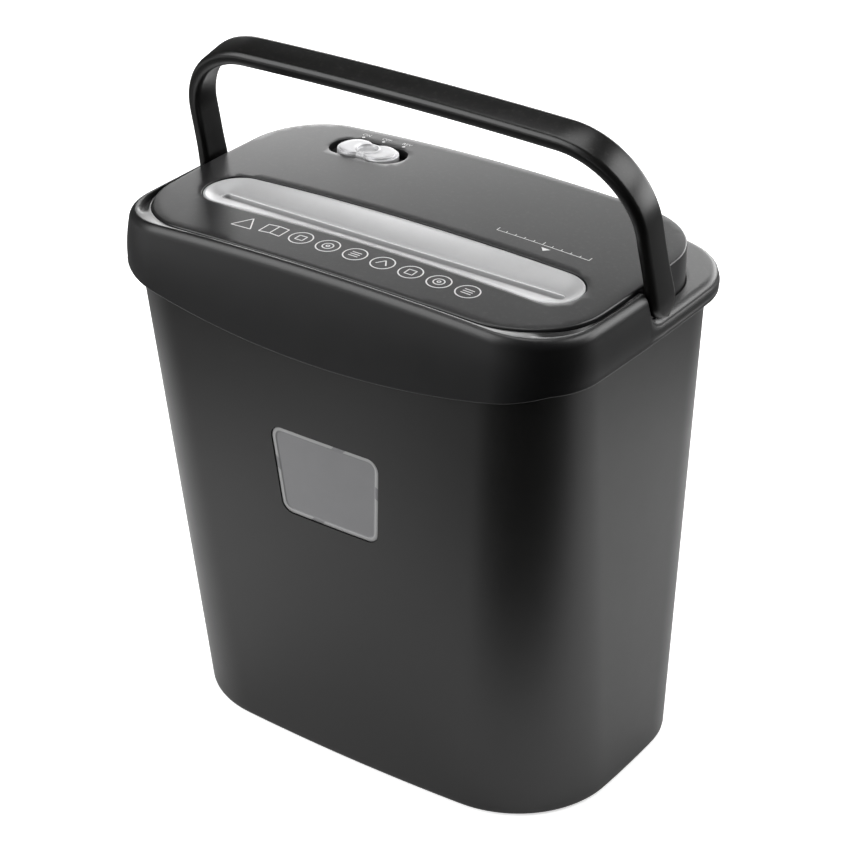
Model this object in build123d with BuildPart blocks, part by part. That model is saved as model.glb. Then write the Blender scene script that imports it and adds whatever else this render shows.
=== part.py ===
# Desktop paper shredder: a waste bin with a lift-off shredding head, millimetres, +Z up.
# X runs along the feed slot, -Y is the front, and z = 0 is the floor under the bin.
from math import acos, atan, cos, pi, radians, sin, sqrt, tan
import os

from build123d import *

os.makedirs("parts", exist_ok=True)

# ---- bin ----
bin_height = 290.0
bin_wall = 2.4
bin_floor = 2.6
bin_foot = 2.0
bin_foot_ring = 7.0
bin_base_edge = 4.0
bin_base_half_x = 134.0
bin_top_half_x = 144.0
bin_base_front = -74.5
bin_top_front = -95.5
bin_base_rear = 94.5
bin_top_rear = 95.2
bin_bow = (6.5, 3.5)
bin_corner = 49.0

# ---- window in the bin's front wall ----
window_low = 162.5
window_height = 54.5
window_base_half = 31.9
window_top_half = 36.3
window_corner = 7.0
window_gap = 0.25
window_recess = 0.7
window_flange = 3.5
window_flange_thickness = 1.4
window_play = 0.05
window_band = 30.0  # height of wall kept above and below the window while its layers are cut

# ---- collar of the head ----
collar_wall = 2.2
collar_low = 264.0
collar_top = 322.0
collar_low_half_x = 146.4
collar_top_half_x = 148.6
collar_low_front = -97.9
collar_low_rear = 98.4
collar_depth_half = 99.8
collar_bow = (4.0, 2.5)
collar_corner = 46.0
collar_rim_edge = 1.2
skirt_side_z = 284.0
skirt_dip = 17.2
skirt_dip_half_x = 136.0
rim_crown = 320.0
rim_land = 5.0
dome_radius = 1460.0
beyond = 170.0  # half size that clears the whole head, for cutting solids

# ---- top cover of the head ----
cover_wall = 2.4
cover_half_x = 142.0
cover_front = -89.6
cover_rear = 73.0
cover_bow = (3.0, 3.0)
cover_front_corner = 47.0
cover_rear_corner = 38.0
cover_rise = 0.02
cover_edge = 1.2
cover_gap = 0.3

# ---- feed plate and throat ----
slot_y = -33.0
slot_length = 220.0
slot_width = 5.2
slot_z = 311.0
plate_half_length = 121.5
plate_half_width = 18.1
plate_bottom = 303.0
plate_recess = 0.5
plate_border = 1.3
plate_gap = 0.25
guide_flange = 2.5
guide_bottom = 285.5
guide_wall = 2.0
guide_end_gap = 0.5
throat_end_gap = 1.0
lever_window = 6.0

# ---- handle ----
pivot_y = 4.0
pivot_z = 306.0
handle_lean = 14.0
handle_half_x = 150.2
handle_leg_thickness = 7.6
handle_bar_thickness = 8.6
handle_width = 20.5
handle_reach = 94.0
handle_arch = 3.6
handle_corner = 50.0
handle_edge = 1.4
handle_gap = 0.35
pin_radius = 3.5
pin_running = 0.06
pin_depth = 4.4
pin_boss_radius = 5.2
pin_boss_length = 4.6
pin_head = 1.6
pin_head_radius = 5.0
pin_end_gap = 0.3

# ---- lower tray of the head ----
tray_flange = 2.5
tray_gap = 0.3
tub_half_x = 133.2
tub_front = -76.0
tub_rear = 72.0
tub_bottom = 238.0
tub_wall = 2.2
tub_corner = 28.0
tub_edge = 1.8
discharge_half_x = 110.0
discharge_half_y = 22.0
discharge_corner = 4.0

# ---- cutting unit ----
roller_z = 268.0
roller_spacing = 30.0
disc_radius = 16.6
disc_thickness = 6.6
disc_pitch = 14.0
disc_count = 16
disc_hooks = 2
disc_facets = 5
disc_twist = 25.0
hook_depth = 2.6
hook_ramp = 0.4
hook_rake = 0.04
spacer_radius = 9.5
spacer_sides = 6
journal_radius = 6.0
gear_seat_radius = 5.0
bush_running = 0.05
bush_radius = 9.0
bush_width = 3.8
plate_inner_x = 112.0
plate_thickness = 3.0
plate_height = 60.0
plate_front = -70.0
plate_rear = 62.0
roller_end_gap = 1.0
rod_radius = 4.0
rod_sides = 6
comb_thickness = 3.4
comb_height = 12.0
comb_bar = 5.0
comb_clearance = 0.4
comb_bar_gap = 2.4
press_play = 0.02
rod_places_from_rollers = ((14.0, 22.0), (16.0, -21.0))
plate_corner = 12.0
left_plate_rear = 8.0
journal_end = 1.0
journal_end_gap = 0.8

# ---- gear train on the right-hand side plate ----
cutter_module = 1.25
motor_module = 1.0
cutter_teeth = 24
drive_teeth = 36
second_small_teeth = 12
second_big_teeth = 40
first_small_teeth = 14
first_big_teeth = 32
pinion_teeth = 12
gear_width = 4.0
gear_layer_gap = 0.6
gear_running = 0.05
gear_backlash = 0.16
pressure_angle = 20.0
gear_dedendum = 1.2
gear_addendum = 0.92
second_hub_radius = 5.6
first_hub_radius = 6.5
pinion_hub_radius = 4.2
hub_gap = 0.4
seat_play = 0.03
stud_radius = 4.0
stud_head_radius = 6.0
stud_head = 0.9
first_gear_angle = 30.0
pinion_angle = -110.0

# ---- motor and electrics ----
motor_radius = 20.0
motor_length = 78.0
motor_shaft_radius = 2.5
motor_running = 0.06
motor_spigot = 6.0
motor_end_boss = (8.0, 4.0)
motor_shaft_end = 2.0
board_size = (76.0, 42.0, 1.6)
board_centre = (-68.0, 44.0)
board_z = 256.0
board_post_radius = 3.0
board_post_margin = 5.0
transformer = (-20.0, 0.0, 28.0, 26.0, 22.0)  # place on the board, length, width, height
relay = (26.0, -6.0, 15.0, 19.0, 16.0)
capacitor = (8.0, 6.0, 8.0, 26.0)  # place on the board, radius, height

# ---- mode switch ----
switch_centre = (-69.5, 45.6)
recess_length = 50.0
recess_width = 22.0
recess_floor_z = 314.6
recess_skin = 1.8
knob_lobe_radius = 10.2
knob_lobe_offset = 9.0
knob_height = 8.6
knob_dish_radius = 7.4
knob_dish_depth = 1.4
knob_waist = 1.6  # width of the bridge between the lobes, in lobe radii
knob_gap = 0.3
knob_travel = 5.2
stem_size = (5.0, 4.0)
stem_depth = 5.2
stem_gap = 0.4
switch_body = (30.0, 12.0, 9.0)

# ---- start lever in the throat ----
lever_pivot = (-20.0, 296.5)
lever_tip = (-35.2, 289.8)
lever_thickness = 3.0
lever_barrel_radius = 2.7
lever_pin_radius = 1.2
start_switch_size = (10.0, 12.4, 13.0)
start_switch_gap = 1.0
lever_root_half = 2.2
lever_tip_height = 1.6
lever_side_gap = 1.0

# ---- interlock between head and bin ----
interlock_xy = (-84.0, -81.2)
plunger_radius = 2.0
plunger_low = 286.5
plunger_length = 10.5
plunger_travel = 3.0
plunger_running = 0.1
plunger_clearance = 0.4
interlock_size = (16.0, 8.6, 10.5)
tab_size = (8.0, 14.0, 18.0)
tab_gap = 0.3
tab_reach = 1.0
switch_head_gap = 0.5
switch_cap = 2.5
plunger_edge = 0.5


# Rounded rectangle whose four sides bow outwards; bow = (front and rear sag, side sag).
def bowed_outline(half_x, front, rear, bow, front_corner, rear_corner=None):
    corner_x = half_x - bow[1]
    low = front + bow[0]
    high = rear - bow[0]
    middle = (low + high) / 2
    with BuildSketch(mode=Mode.PRIVATE) as outline:
        with BuildLine():
            ThreePointArc((-corner_x, low), (0, front), (corner_x, low))
            ThreePointArc((corner_x, low), (half_x, middle), (corner_x, high))
            ThreePointArc((corner_x, high), (0, rear), (-corner_x, high))
            ThreePointArc((-corner_x, high), (-half_x, middle), (-corner_x, low))
        make_face()
        corners = outline.vertices().sort_by(Axis.Y)
        fillet(corners[:2], front_corner)
        corners = outline.vertices().sort_by(Axis.Y)
        fillet(corners[-2:], rear_corner or front_corner)
    return outline.sketch


def blend(low, high, share):
    return low + (high - low) * share


# Bin section at a height, moved inwards by an inset.
def bin_section(height, inset=0.0, corner=bin_corner):
    share = height / bin_height
    return bowed_outline(
        blend(bin_base_half_x, bin_top_half_x, share) - inset,
        blend(bin_base_front, bin_top_front, share) + inset,
        blend(bin_base_rear, bin_top_rear, share) - inset,
        bin_bow,
        corner,
    )


# Collar section at a height, moved inwards by an inset.
def collar_section(height, inset=0.0):
    share = (height - collar_low) / (collar_top - collar_low)
    return bowed_outline(
        blend(collar_low_half_x, collar_top_half_x, share) - inset,
        blend(collar_low_front, -collar_depth_half, share) + inset,
        blend(collar_low_rear, collar_depth_half, share) - inset,
        collar_bow,
        collar_corner - inset,
    )


def cover_section(inset=0.0):
    return bowed_outline(
        cover_half_x - inset,
        cover_front + inset,
        cover_rear - inset,
        cover_bow,
        cover_front_corner - inset,
        cover_rear_corner - inset,
    )


# Solid below a domed surface: arched along X, rising to the rear by `rise` per millimetre.
def under_dome(crown, rise=0.0):
    tilt = atan(rise)
    sag = dome_radius - sqrt(dome_radius**2 - beyond**2)
    lean = Plane(origin=(0, 0, crown), x_dir=(1, 0, 0), z_dir=(0, -cos(tilt), -sin(tilt)))
    with BuildPart(mode=Mode.PRIVATE) as solid:
        with BuildSketch(lean):
            with BuildLine():
                ThreePointArc((-beyond, -sag), (0, 0), (beyond, -sag))
                Polyline((beyond, -sag), (beyond, -beyond), (-beyond, -beyond), (-beyond, -sag))
            make_face()
        extrude(amount=beyond, both=True)
    return solid.part


# Slot-shaped block hanging from the middle of the top cover's skin.
def deck_block(centre, length, width, bottom):
    with BuildPart(mode=Mode.PRIVATE) as block:
        with BuildSketch(Plane.XY.offset(bottom)):
            with Locations(centre):
                SlotOverall(length, width)
        extrude(amount=beyond)
        add(under_dome(rim_crown - cover_wall / 2, cover_rise), mode=Mode.INTERSECT)
    return block.part


# ---- derived places ----
lean = radians(handle_lean)
tray_top = bin_height + tray_flange
tub_floor_top = tub_bottom + tub_wall
tub_middle = (tub_front + tub_rear) / 2
front_roller_y = slot_y - roller_spacing / 2
rear_roller_y = slot_y + roller_spacing / 2
shoulder_z = pivot_z - handle_width / 2 - handle_gap
notch_radius = handle_width / 2 + handle_gap
gear_layer = gear_width + gear_layer_gap
layer_1 = plate_inner_x + plate_thickness + gear_layer_gap
layer_2 = layer_1 + gear_layer
layer_3 = layer_2 + gear_layer
stud_end = layer_3 + gear_width + gear_layer_gap / 2
window_top = window_low + window_height


# ---- bin: tapered shell standing on a foot ring, with a tab that works the interlock ----
def window_outline(grow):
    slope = (window_top_half - window_base_half) / window_height
    with BuildSketch(Plane.XZ, mode=Mode.PRIVATE) as outline:
        with BuildLine():
            Polyline(
                (-window_base_half - grow + slope * grow, window_low - grow),
                (window_base_half + grow - slope * grow, window_low - grow),
                (window_top_half + grow + slope * grow, window_top + grow),
                (-window_top_half - grow - slope * grow, window_top + grow),
                close=True,
            )
        make_face()
        fillet(outline.vertices(), window_corner + grow)
    return outline.sketch


with BuildPart() as bin_shell:
    # the base edge is eased by a short flare below the tapered wall
    for low, high, inset in ((0, bin_base_edge, bin_base_edge / 2), (bin_base_edge, bin_height, 0)):
        with BuildSketch(Plane.XY.offset(low)):
            add(bin_section(low, inset))
        with BuildSketch(Plane.XY.offset(high)):
            add(bin_section(high))
        loft()
    floor_top = bin_foot + bin_floor
    with BuildSketch(Plane.XY.offset(floor_top)):
        add(bin_section(floor_top, bin_wall, bin_corner - bin_wall))
    with BuildSketch(Plane.XY.offset(bin_height)):
        add(bin_section(bin_height, bin_wall, bin_corner - bin_wall))
    loft(mode=Mode.SUBTRACT)
    with BuildSketch(Plane.XY):
        add(bin_section(0, bin_foot_ring + bin_base_edge, bin_corner - bin_foot_ring))
    extrude(amount=bin_foot, mode=Mode.SUBTRACT)
    # the tab stands on the front wall, under the plunger
    tab_top = plunger_low - tab_gap
    with BuildSketch(Plane.XY.offset(tab_top)):
        with Locations((interlock_xy[0], interlock_xy[1] - tab_size[1] / 2 + plunger_radius + tab_reach)):
            Rectangle(tab_size[0], tab_size[1])
    extrude(amount=-tab_size[2])
    extrude(window_outline(0), amount=beyond, mode=Mode.SUBTRACT)
bin_shell.part.label = "bin"
export_step(bin_shell.part, "parts/bin.step")


# ---- window: frosted panel that fills the hole, with a flange behind the wall ----
def bin_layer(outer_inset, inner_inset):
    low = window_low - window_band
    high = window_top + window_band
    with BuildPart(mode=Mode.PRIVATE) as layer:
        for inset, mode in ((outer_inset, Mode.ADD), (inner_inset, Mode.SUBTRACT)):
            with BuildSketch(Plane.XY.offset(low)):
                add(bin_section(low, inset))
            with BuildSketch(Plane.XY.offset(high)):
                add(bin_section(high, inset))
            loft(mode=mode)
    return layer.part


with BuildPart() as window_flange_ring:
    extrude(window_outline(window_flange), amount=beyond)
    add(bin_layer(bin_wall + window_play, bin_wall + window_flange_thickness), mode=Mode.INTERSECT)
with BuildPart() as bin_window:
    extrude(window_outline(-window_gap), amount=beyond)
    add(bin_layer(window_recess, bin_wall + window_flange_thickness), mode=Mode.INTERSECT)
    add(window_flange_ring.part)
bin_window.part.label = "bin_window"
export_step(bin_window.part, "parts/bin_window.step")

# ---- collar: skirt over the bin, domed front rim, and a low shoulder behind the handle ----
with BuildPart() as collar:
    with BuildSketch(Plane.XY.offset(collar_low)):
        add(collar_section(collar_low))
    with BuildSketch(Plane.XY.offset(collar_top)):
        add(collar_section(collar_top))
    loft()
    add(under_dome(rim_crown), mode=Mode.INTERSECT)
    chamfer(collar.faces().sort_by(Axis.Z)[-1].edges(), collar_rim_edge)
    # behind the leaning handle leg everything above the shoulder is cut away
    tangent = (pivot_y - notch_radius * cos(lean), pivot_z - notch_radius * sin(lean))
    half_turn = lean / 2 + pi / 4
    middle = (pivot_y - notch_radius * cos(half_turn), pivot_z - notch_radius * sin(half_turn))
    top = (tangent[0] - handle_width * sin(lean), tangent[1] + handle_width * cos(lean))
    with BuildSketch(Plane.YZ):
        with BuildLine():
            Line(top, tangent)
            ThreePointArc(tangent, middle, (pivot_y, shoulder_z))
            Polyline((pivot_y, shoulder_z), (beyond, shoulder_z), (beyond, top[1]), top)
        make_face()
    extrude(amount=beyond, both=True, mode=Mode.SUBTRACT)
    # skirt cavity that takes the bin's edge and the tray's flange
    with BuildSketch(Plane.XY.offset(collar_low)):
        add(collar_section(collar_low, collar_wall))
    with BuildSketch(Plane.XY.offset(tray_top)):
        add(collar_section(tray_top, collar_wall))
    loft(mode=Mode.SUBTRACT)
    # opening for the top cover: a groove inside the front rim, a close fit behind
    with BuildSketch(Plane.XY.offset(tray_top)):
        add(cover_section(-cover_gap))
        with BuildSketch(mode=Mode.PRIVATE) as front_opening:
            add(collar_section(rim_crown, rim_land))
            with Locations((0, beyond + tangent[0])):
                Rectangle(2 * beyond, 2 * beyond, mode=Mode.SUBTRACT)
        add(front_opening.sketch)
    extrude(amount=beyond, mode=Mode.SUBTRACT)
    # the skirt's lower edge is level at the sides and dips in an arc across the front
    with BuildSketch(Plane.XZ):
        with BuildLine():
            ThreePointArc(
                (-skirt_dip_half_x, skirt_side_z),
                (0, skirt_side_z - skirt_dip),
                (skirt_dip_half_x, skirt_side_z),
            )
            Polyline(
                (skirt_dip_half_x, skirt_side_z),
                (beyond, skirt_side_z),
                (beyond, collar_low),
                (-beyond, collar_low),
                (-beyond, skirt_side_z),
                (-skirt_dip_half_x, skirt_side_z),
            )
        make_face()
    extrude(amount=beyond, mode=Mode.SUBTRACT)
    with BuildSketch(Plane.XZ):
        with Locations((0, (skirt_side_z + collar_low) / 2)):
            Rectangle(2 * beyond, skirt_side_z - collar_low)
    extrude(amount=-beyond, mode=Mode.SUBTRACT)
collar.part.label = "collar"
export_step(collar.part, "parts/collar.step")

# ---- top cover: domed deck with walls down to the tray ----
with BuildPart() as cover_cavity:
    with BuildSketch(Plane.XY.offset(tray_top)):
        add(cover_section(cover_wall))
    extrude(amount=rim_crown - tray_top)
    add(under_dome(rim_crown - cover_wall, cover_rise), mode=Mode.INTERSECT)

with BuildPart() as top_cover:
    with BuildSketch(Plane.XY.offset(tray_top)):
        add(cover_section())
    extrude(amount=beyond)
    add(under_dome(rim_crown, cover_rise), mode=Mode.INTERSECT)
    chamfer(top_cover.faces().sort_by(Axis.Z)[-1].edges(), cover_edge)
    add(cover_cavity.part, mode=Mode.SUBTRACT)
    # well round the feed plate
    well_size = (2 * (plate_half_length + cover_wall), 2 * (plate_half_width + cover_wall))
    add(deck_block((0, slot_y), well_size[0], well_size[1], plate_bottom))
    with BuildSketch(Plane.XY.offset(plate_bottom)):
        with Locations((0, slot_y)):
            SlotOverall(2 * (plate_half_length + plate_gap), 2 * (plate_half_width + plate_gap))
    extrude(amount=beyond, mode=Mode.SUBTRACT)
    # tub of the mode switch, with a slot for the knob's stem
    tub_size = (recess_length + 2 * recess_skin, recess_width + 2 * recess_skin)
    add(deck_block(switch_centre, tub_size[0], tub_size[1], recess_floor_z - recess_skin))
    with BuildSketch(Plane.XY.offset(recess_floor_z)):
        with Locations(switch_centre):
            SlotOverall(recess_length, recess_width)
    extrude(amount=beyond, mode=Mode.SUBTRACT)
    with BuildSketch(Plane.XY.offset(recess_floor_z - recess_skin)):
        with Locations(switch_centre):
            Rectangle(stem_size[0] + 2 * (knob_travel + stem_gap), stem_size[1] + 2 * stem_gap)
    extrude(amount=recess_skin, mode=Mode.SUBTRACT)
    # bosses for the handle's pins
    for side in (-1, 1):
        with BuildSketch(Plane.YZ.offset(side * (cover_half_x - cover_wall - pin_boss_length))):
            with Locations((pivot_y, pivot_z)):
                Circle(pin_boss_radius)
        extrude(amount=side * (pin_boss_length + cover_wall / 2))
        with BuildSketch(Plane.YZ.offset(side * cover_half_x)):
            with Locations((pivot_y, pivot_z)):
                Circle(pin_radius + pin_running)
        extrude(amount=-side * (pin_boss_length + cover_wall), mode=Mode.SUBTRACT)
top_cover.part.label = "top_cover"
export_step(top_cover.part, "parts/top_cover.step")

# ---- feed plate: a long silver trough that narrows down to the paper slot ----
with BuildPart() as feed_plate:
    with BuildSketch(Plane.XY.offset(plate_bottom)):
        with Locations((0, slot_y)):
            SlotOverall(2 * plate_half_length, 2 * plate_half_width)
    extrude(amount=beyond)
    add(under_dome(rim_crown - plate_recess, cover_rise), mode=Mode.INTERSECT)
    with BuildSketch(Plane.XY.offset(slot_z)):
        with Locations((0, slot_y)):
            SlotOverall(slot_length, slot_width)
    with BuildSketch(Plane.XY.offset(rim_crown)):
        with Locations((0, slot_y)):
            SlotOverall(2 * (plate_half_length - plate_border), 2 * (plate_half_width - plate_border))
    loft(mode=Mode.SUBTRACT)
    with BuildSketch(Plane.XY.offset(plate_bottom)):
        with Locations((0, slot_y)):
            SlotOverall(slot_length, slot_width)
    extrude(amount=slot_z - plate_bottom, mode=Mode.SUBTRACT)
feed_plate.part.label = "feed_plate"
export_step(feed_plate.part, "parts/feed_plate.step")

# ---- paper guide: flange under the feed plate and a throat down to the rollers ----
guide_half_x = plate_inner_x - guide_end_gap
with BuildPart() as paper_guide:
    with BuildSketch(Plane.XY.offset(plate_bottom - guide_flange)):
        with Locations((0, slot_y)):
            SlotOverall(well_size[0], well_size[1])
    extrude(amount=guide_flange)
    with BuildSketch(Plane.XY.offset(guide_bottom)):
        with Locations((0, slot_y)):
            Rectangle(2 * guide_half_x, slot_width + 2 * guide_wall)
    extrude(amount=plate_bottom - guide_flange - guide_bottom)
    with BuildSketch(Plane.XY.offset(guide_bottom)):
        with Locations((0, slot_y)):
            Rectangle(slot_length - 2 * throat_end_gap, slot_width)
    extrude(amount=plate_bottom - guide_bottom, mode=Mode.SUBTRACT)
    # windows that let the start lever swing through the throat
    with BuildSketch(Plane.XY.offset(guide_bottom)):
        with Locations((0, slot_y)):
            Rectangle(lever_window, slot_width + 2 * guide_wall)
    extrude(amount=plate_bottom - guide_flange - guide_bottom, mode=Mode.SUBTRACT)
paper_guide.part.label = "paper_guide"
export_step(paper_guide.part, "parts/paper_guide.step")

# ---- base tray: flange that rests on the bin, and a tub that holds the cutting unit ----
with BuildPart() as base_tray:
    with BuildSketch(Plane.XY.offset(bin_height)):
        add(collar_section(bin_height, collar_wall + tray_gap))
    extrude(amount=tray_flange)
    with BuildSketch(Plane.XY.offset(tub_bottom)):
        with Locations((0, tub_middle)):
            RectangleRounded(2 * tub_half_x, tub_rear - tub_front, tub_corner)
    extrude(amount=tray_top - tub_bottom)
    chamfer(base_tray.faces().sort_by(Axis.Z)[0].edges(), tub_edge)
    with BuildSketch(Plane.XY.offset(tub_floor_top)):
        with Locations((0, tub_middle)):
            RectangleRounded(
                2 * (tub_half_x - tub_wall), tub_rear - tub_front - 2 * tub_wall, tub_corner - tub_wall
            )
    extrude(amount=tray_top, mode=Mode.SUBTRACT)
    # discharge opening under the rollers
    with BuildSketch(Plane.XY.offset(tub_bottom)):
        with Locations((0, slot_y)):
            RectangleRounded(2 * discharge_half_x, 2 * discharge_half_y, discharge_corner)
    extrude(amount=tub_wall, mode=Mode.SUBTRACT)
    # posts for the circuit board
    with BuildSketch(Plane.XY.offset(tub_bottom + tub_wall / 2)):
        with Locations(board_centre):
            with GridLocations(
                board_size[0] - 2 * board_post_margin, board_size[1] - 2 * board_post_margin, 2, 2
            ):
                Circle(board_post_radius)
    extrude(amount=board_z - tub_bottom - tub_wall / 2)
    # hole for the interlock plunger
    with BuildSketch(Plane.XY.offset(bin_height)):
        with Locations(interlock_xy):
            Circle(plunger_radius + plunger_clearance)
    extrude(amount=tray_flange, mode=Mode.SUBTRACT)
base_tray.part.label = "base_tray"
export_step(base_tray.part, "parts/base_tray.step")


# ---- gear geometry, drawn in the YZ plane ----
def involute(angle):
    return tan(angle) - angle


# Half angle of a tooth at a radius; below the base circle the flank runs radially.
def tooth_half_angle(teeth, module, radius):
    pitch_radius = teeth * module / 2
    base_radius = pitch_radius * cos(radians(pressure_angle))
    pressure = acos(min(1.0, base_radius / max(radius, base_radius)))
    thickness = pi * module / 2 - gear_backlash * module
    return thickness / (2 * pitch_radius) + involute(radians(pressure_angle)) - involute(pressure)


# Spur gear face centred at (y, z) with a tooth pointing along `phase` radians.
def gear_face(teeth, module, centre, phase):
    pitch_radius = teeth * module / 2
    root = pitch_radius - gear_dedendum * module
    tip = pitch_radius + gear_addendum * module
    points = []
    for tooth in range(teeth):
        axis = phase + 2 * pi * tooth / teeth
        for radius, side in ((root, -1), (tip, -1), (tip, 1), (root, 1)):
            angle = axis + side * tooth_half_angle(teeth, module, radius)
            points.append((centre[0] + radius * cos(angle), centre[1] + radius * sin(angle)))
    with BuildSketch(mode=Mode.PRIVATE) as face:
        with BuildLine():
            Polyline(*points, close=True)
        make_face()
    return face.sketch


# Phase of the second gear so that its teeth stand in the first gear's gaps.
def mesh_phase(teeth_a, phase_a, direction, teeth_b):
    share = (direction - phase_a) * teeth_a / (2 * pi)
    return direction + pi - (0.5 - share) * 2 * pi / teeth_b


def step_from(centre, distance, angle):
    return (centre[0] + distance * cos(angle), centre[1] + distance * sin(angle))


# gear centres and phases, worked out from the rear roller outwards
front_axis = (front_roller_y, roller_z)
rear_axis = (rear_roller_y, roller_z)
second_axis = step_from(rear_axis, cutter_module * (drive_teeth + second_small_teeth) / 2, 0.0)
first_direction = radians(first_gear_angle)
second_to_first = cutter_module * (second_big_teeth + first_small_teeth) / 2
first_axis = step_from(second_axis, second_to_first, first_direction)
pinion_direction = radians(pinion_angle)
first_to_pinion = motor_module * (first_big_teeth + pinion_teeth) / 2
motor_axis = step_from(first_axis, first_to_pinion, pinion_direction)
cutter_phase = 0.0
front_phase = mesh_phase(cutter_teeth, cutter_phase, pi, cutter_teeth)
second_small_phase = mesh_phase(drive_teeth, 0.0, 0.0, second_small_teeth)
first_small_phase = mesh_phase(second_big_teeth, 0.0, first_direction, first_small_teeth)
pinion_phase = mesh_phase(first_big_teeth, 0.0, pinion_direction, pinion_teeth)


# Round bar or hole along X, added to the part being built.
def round_bar(centre, radius, start, length, mode=Mode.ADD):
    with BuildSketch(Plane.YZ.offset(start)) as section:
        with Locations(centre):
            Circle(radius)
    extrude(section.sketch, amount=length, mode=mode)


def ring_hole(centre, radius, start, length):
    round_bar(centre, radius, start, length, mode=Mode.SUBTRACT)


# ---- cutting rollers: hooked discs on a spacer core, the two rollers interleaved ----
first_disc_x = -(disc_count - 1) / 2 * disc_pitch
front_discs = [first_disc_x + disc_pitch * i for i in range(disc_count)]
rear_discs = [x + disc_pitch / 2 for x in front_discs[:-1]]
core_half = plate_inner_x - roller_end_gap


# Disc outline: facets round the rim and a saw-like hook at the end of each sector.
def disc_face(centre, turn):
    sector = 2 * pi / disc_hooks
    points = []
    for hook in range(disc_hooks):
        start = radians(turn) + hook * sector
        for facet in range(disc_facets):
            angle = start + facet * (sector - hook_ramp) / (disc_facets - 1)
            points.append((disc_radius, angle))
        points.append((disc_radius - hook_depth, start + sector - hook_rake))
    with BuildSketch(mode=Mode.PRIVATE) as face:
        with BuildLine():
            Polyline(*[(centre[0] + r * cos(a), centre[1] + r * sin(a)) for r, a in points], close=True)
        make_face()
    return face.sketch


def build_roller(name, axis, discs, hand, seat_end):
    with BuildPart() as roller:
        with BuildSketch(Plane.YZ.offset(-core_half)):
            with Locations(axis):
                RegularPolygon(spacer_radius, spacer_sides)
        extrude(amount=2 * core_half)
        journal = plate_inner_x + plate_thickness + journal_end - core_half
        round_bar(axis, journal_radius, -core_half - journal, 2 * (core_half + journal) - journal_end_gap)
        round_bar(axis, gear_seat_radius, core_half, seat_end - core_half)
        for count, x in enumerate(discs):
            with BuildSketch(Plane.YZ.offset(x - disc_thickness / 2)):
                add(disc_face(axis, hand * disc_twist * count))
            extrude(amount=disc_thickness)
    roller.part.label = name
    export_step(roller.part, f"parts/{name}.step")
    return roller.part


build_roller("front_cutter", front_axis, front_discs, 1, layer_1 + gear_width)
build_roller("rear_cutter", rear_axis, rear_discs, -1, layer_2 + gear_width)


# ---- gears ----
def build_gear(name, wheels, hub, bore):
    centre = wheels[0][2]
    with BuildPart() as gear:
        for teeth, module, axis, phase, start in wheels:
            with BuildSketch(Plane.YZ.offset(start)):
                add(gear_face(teeth, module, axis, phase))
            extrude(amount=gear_width)
        if hub:
            round_bar(centre, hub[0], hub[1], hub[2])
        ring_hole(centre, bore, plate_inner_x, beyond)
    gear.part.label = name
    export_step(gear.part, f"parts/{name}.step")
    return gear.part


seat_bore = gear_seat_radius + seat_play
stud_bore = stud_radius + gear_running
hub_start = plate_inner_x + plate_thickness + hub_gap
build_gear(
    "front_cutter_gear",
    [(cutter_teeth, cutter_module, front_axis, front_phase, layer_1)],
    None,
    seat_bore,
)
build_gear(
    "rear_cutter_gear",
    [(cutter_teeth, cutter_module, rear_axis, cutter_phase, layer_1)],
    None,
    seat_bore,
)
build_gear(
    "rear_drive_gear",
    [(drive_teeth, cutter_module, rear_axis, 0.0, layer_2)],
    None,
    seat_bore,
)
build_gear(
    "second_stage_gear",
    [
        (second_small_teeth, cutter_module, second_axis, second_small_phase, layer_2),
        (second_big_teeth, cutter_module, second_axis, 0.0, layer_3),
    ],
    (second_hub_radius, hub_start, layer_3 + gear_width - hub_start),
    stud_bore,
)
build_gear(
    "first_stage_gear",
    [
        (first_big_teeth, motor_module, first_axis, 0.0, layer_2),
        (first_small_teeth, cutter_module, first_axis, first_small_phase, layer_3),
    ],
    (first_hub_radius, hub_start, layer_3 + gear_width - hub_start),
    stud_bore,
)
build_gear(
    "motor_pinion",
    [(pinion_teeth, motor_module, motor_axis, pinion_phase, layer_2)],
    (pinion_hub_radius, hub_start, layer_2 - hub_start),
    motor_shaft_radius + press_play,
)


# ---- side plates: pressed steel with holes for bushings, rods, studs and motor ----
rod_places = []
for out, up in rod_places_from_rollers:
    rod_places += [(front_roller_y - out, roller_z + up), (rear_roller_y + out, roller_z + up)]


def build_side_plate(name, start, rear, extra_holes):
    with BuildPart() as plate:
        with BuildSketch(Plane.YZ.offset(start)):
            with Locations(((plate_front + rear) / 2, tub_floor_top + plate_height / 2)):
                Rectangle(rear - plate_front, plate_height)
        extrude(amount=plate_thickness)
        corners = plate.edges().filter_by(Axis.X).group_by(Axis.Z)[-1]
        chamfer(corners, plate_corner)
        holes = [(front_axis, bush_radius), (rear_axis, bush_radius)]
        for centre, radius in holes + extra_holes:
            ring_hole(centre, radius, start, plate_thickness)
    plate.part.label = name
    export_step(plate.part, f"parts/{name}.step")
    return plate.part


build_side_plate("left_side_plate", -plate_inner_x - plate_thickness, left_plate_rear, [])
build_side_plate(
    "right_side_plate",
    plate_inner_x,
    plate_rear,
    [(motor_axis, motor_spigot)],
)

with BuildPart() as tie_rods:
    with BuildSketch(Plane.YZ.offset(-plate_inner_x)):
        with Locations(*rod_places):
            RegularPolygon(rod_radius, rod_sides)
    extrude(amount=2 * plate_inner_x)
tie_rods.part.label = "tie_rods"
export_step(tie_rods.part, "parts/tie_rods.step")

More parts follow.
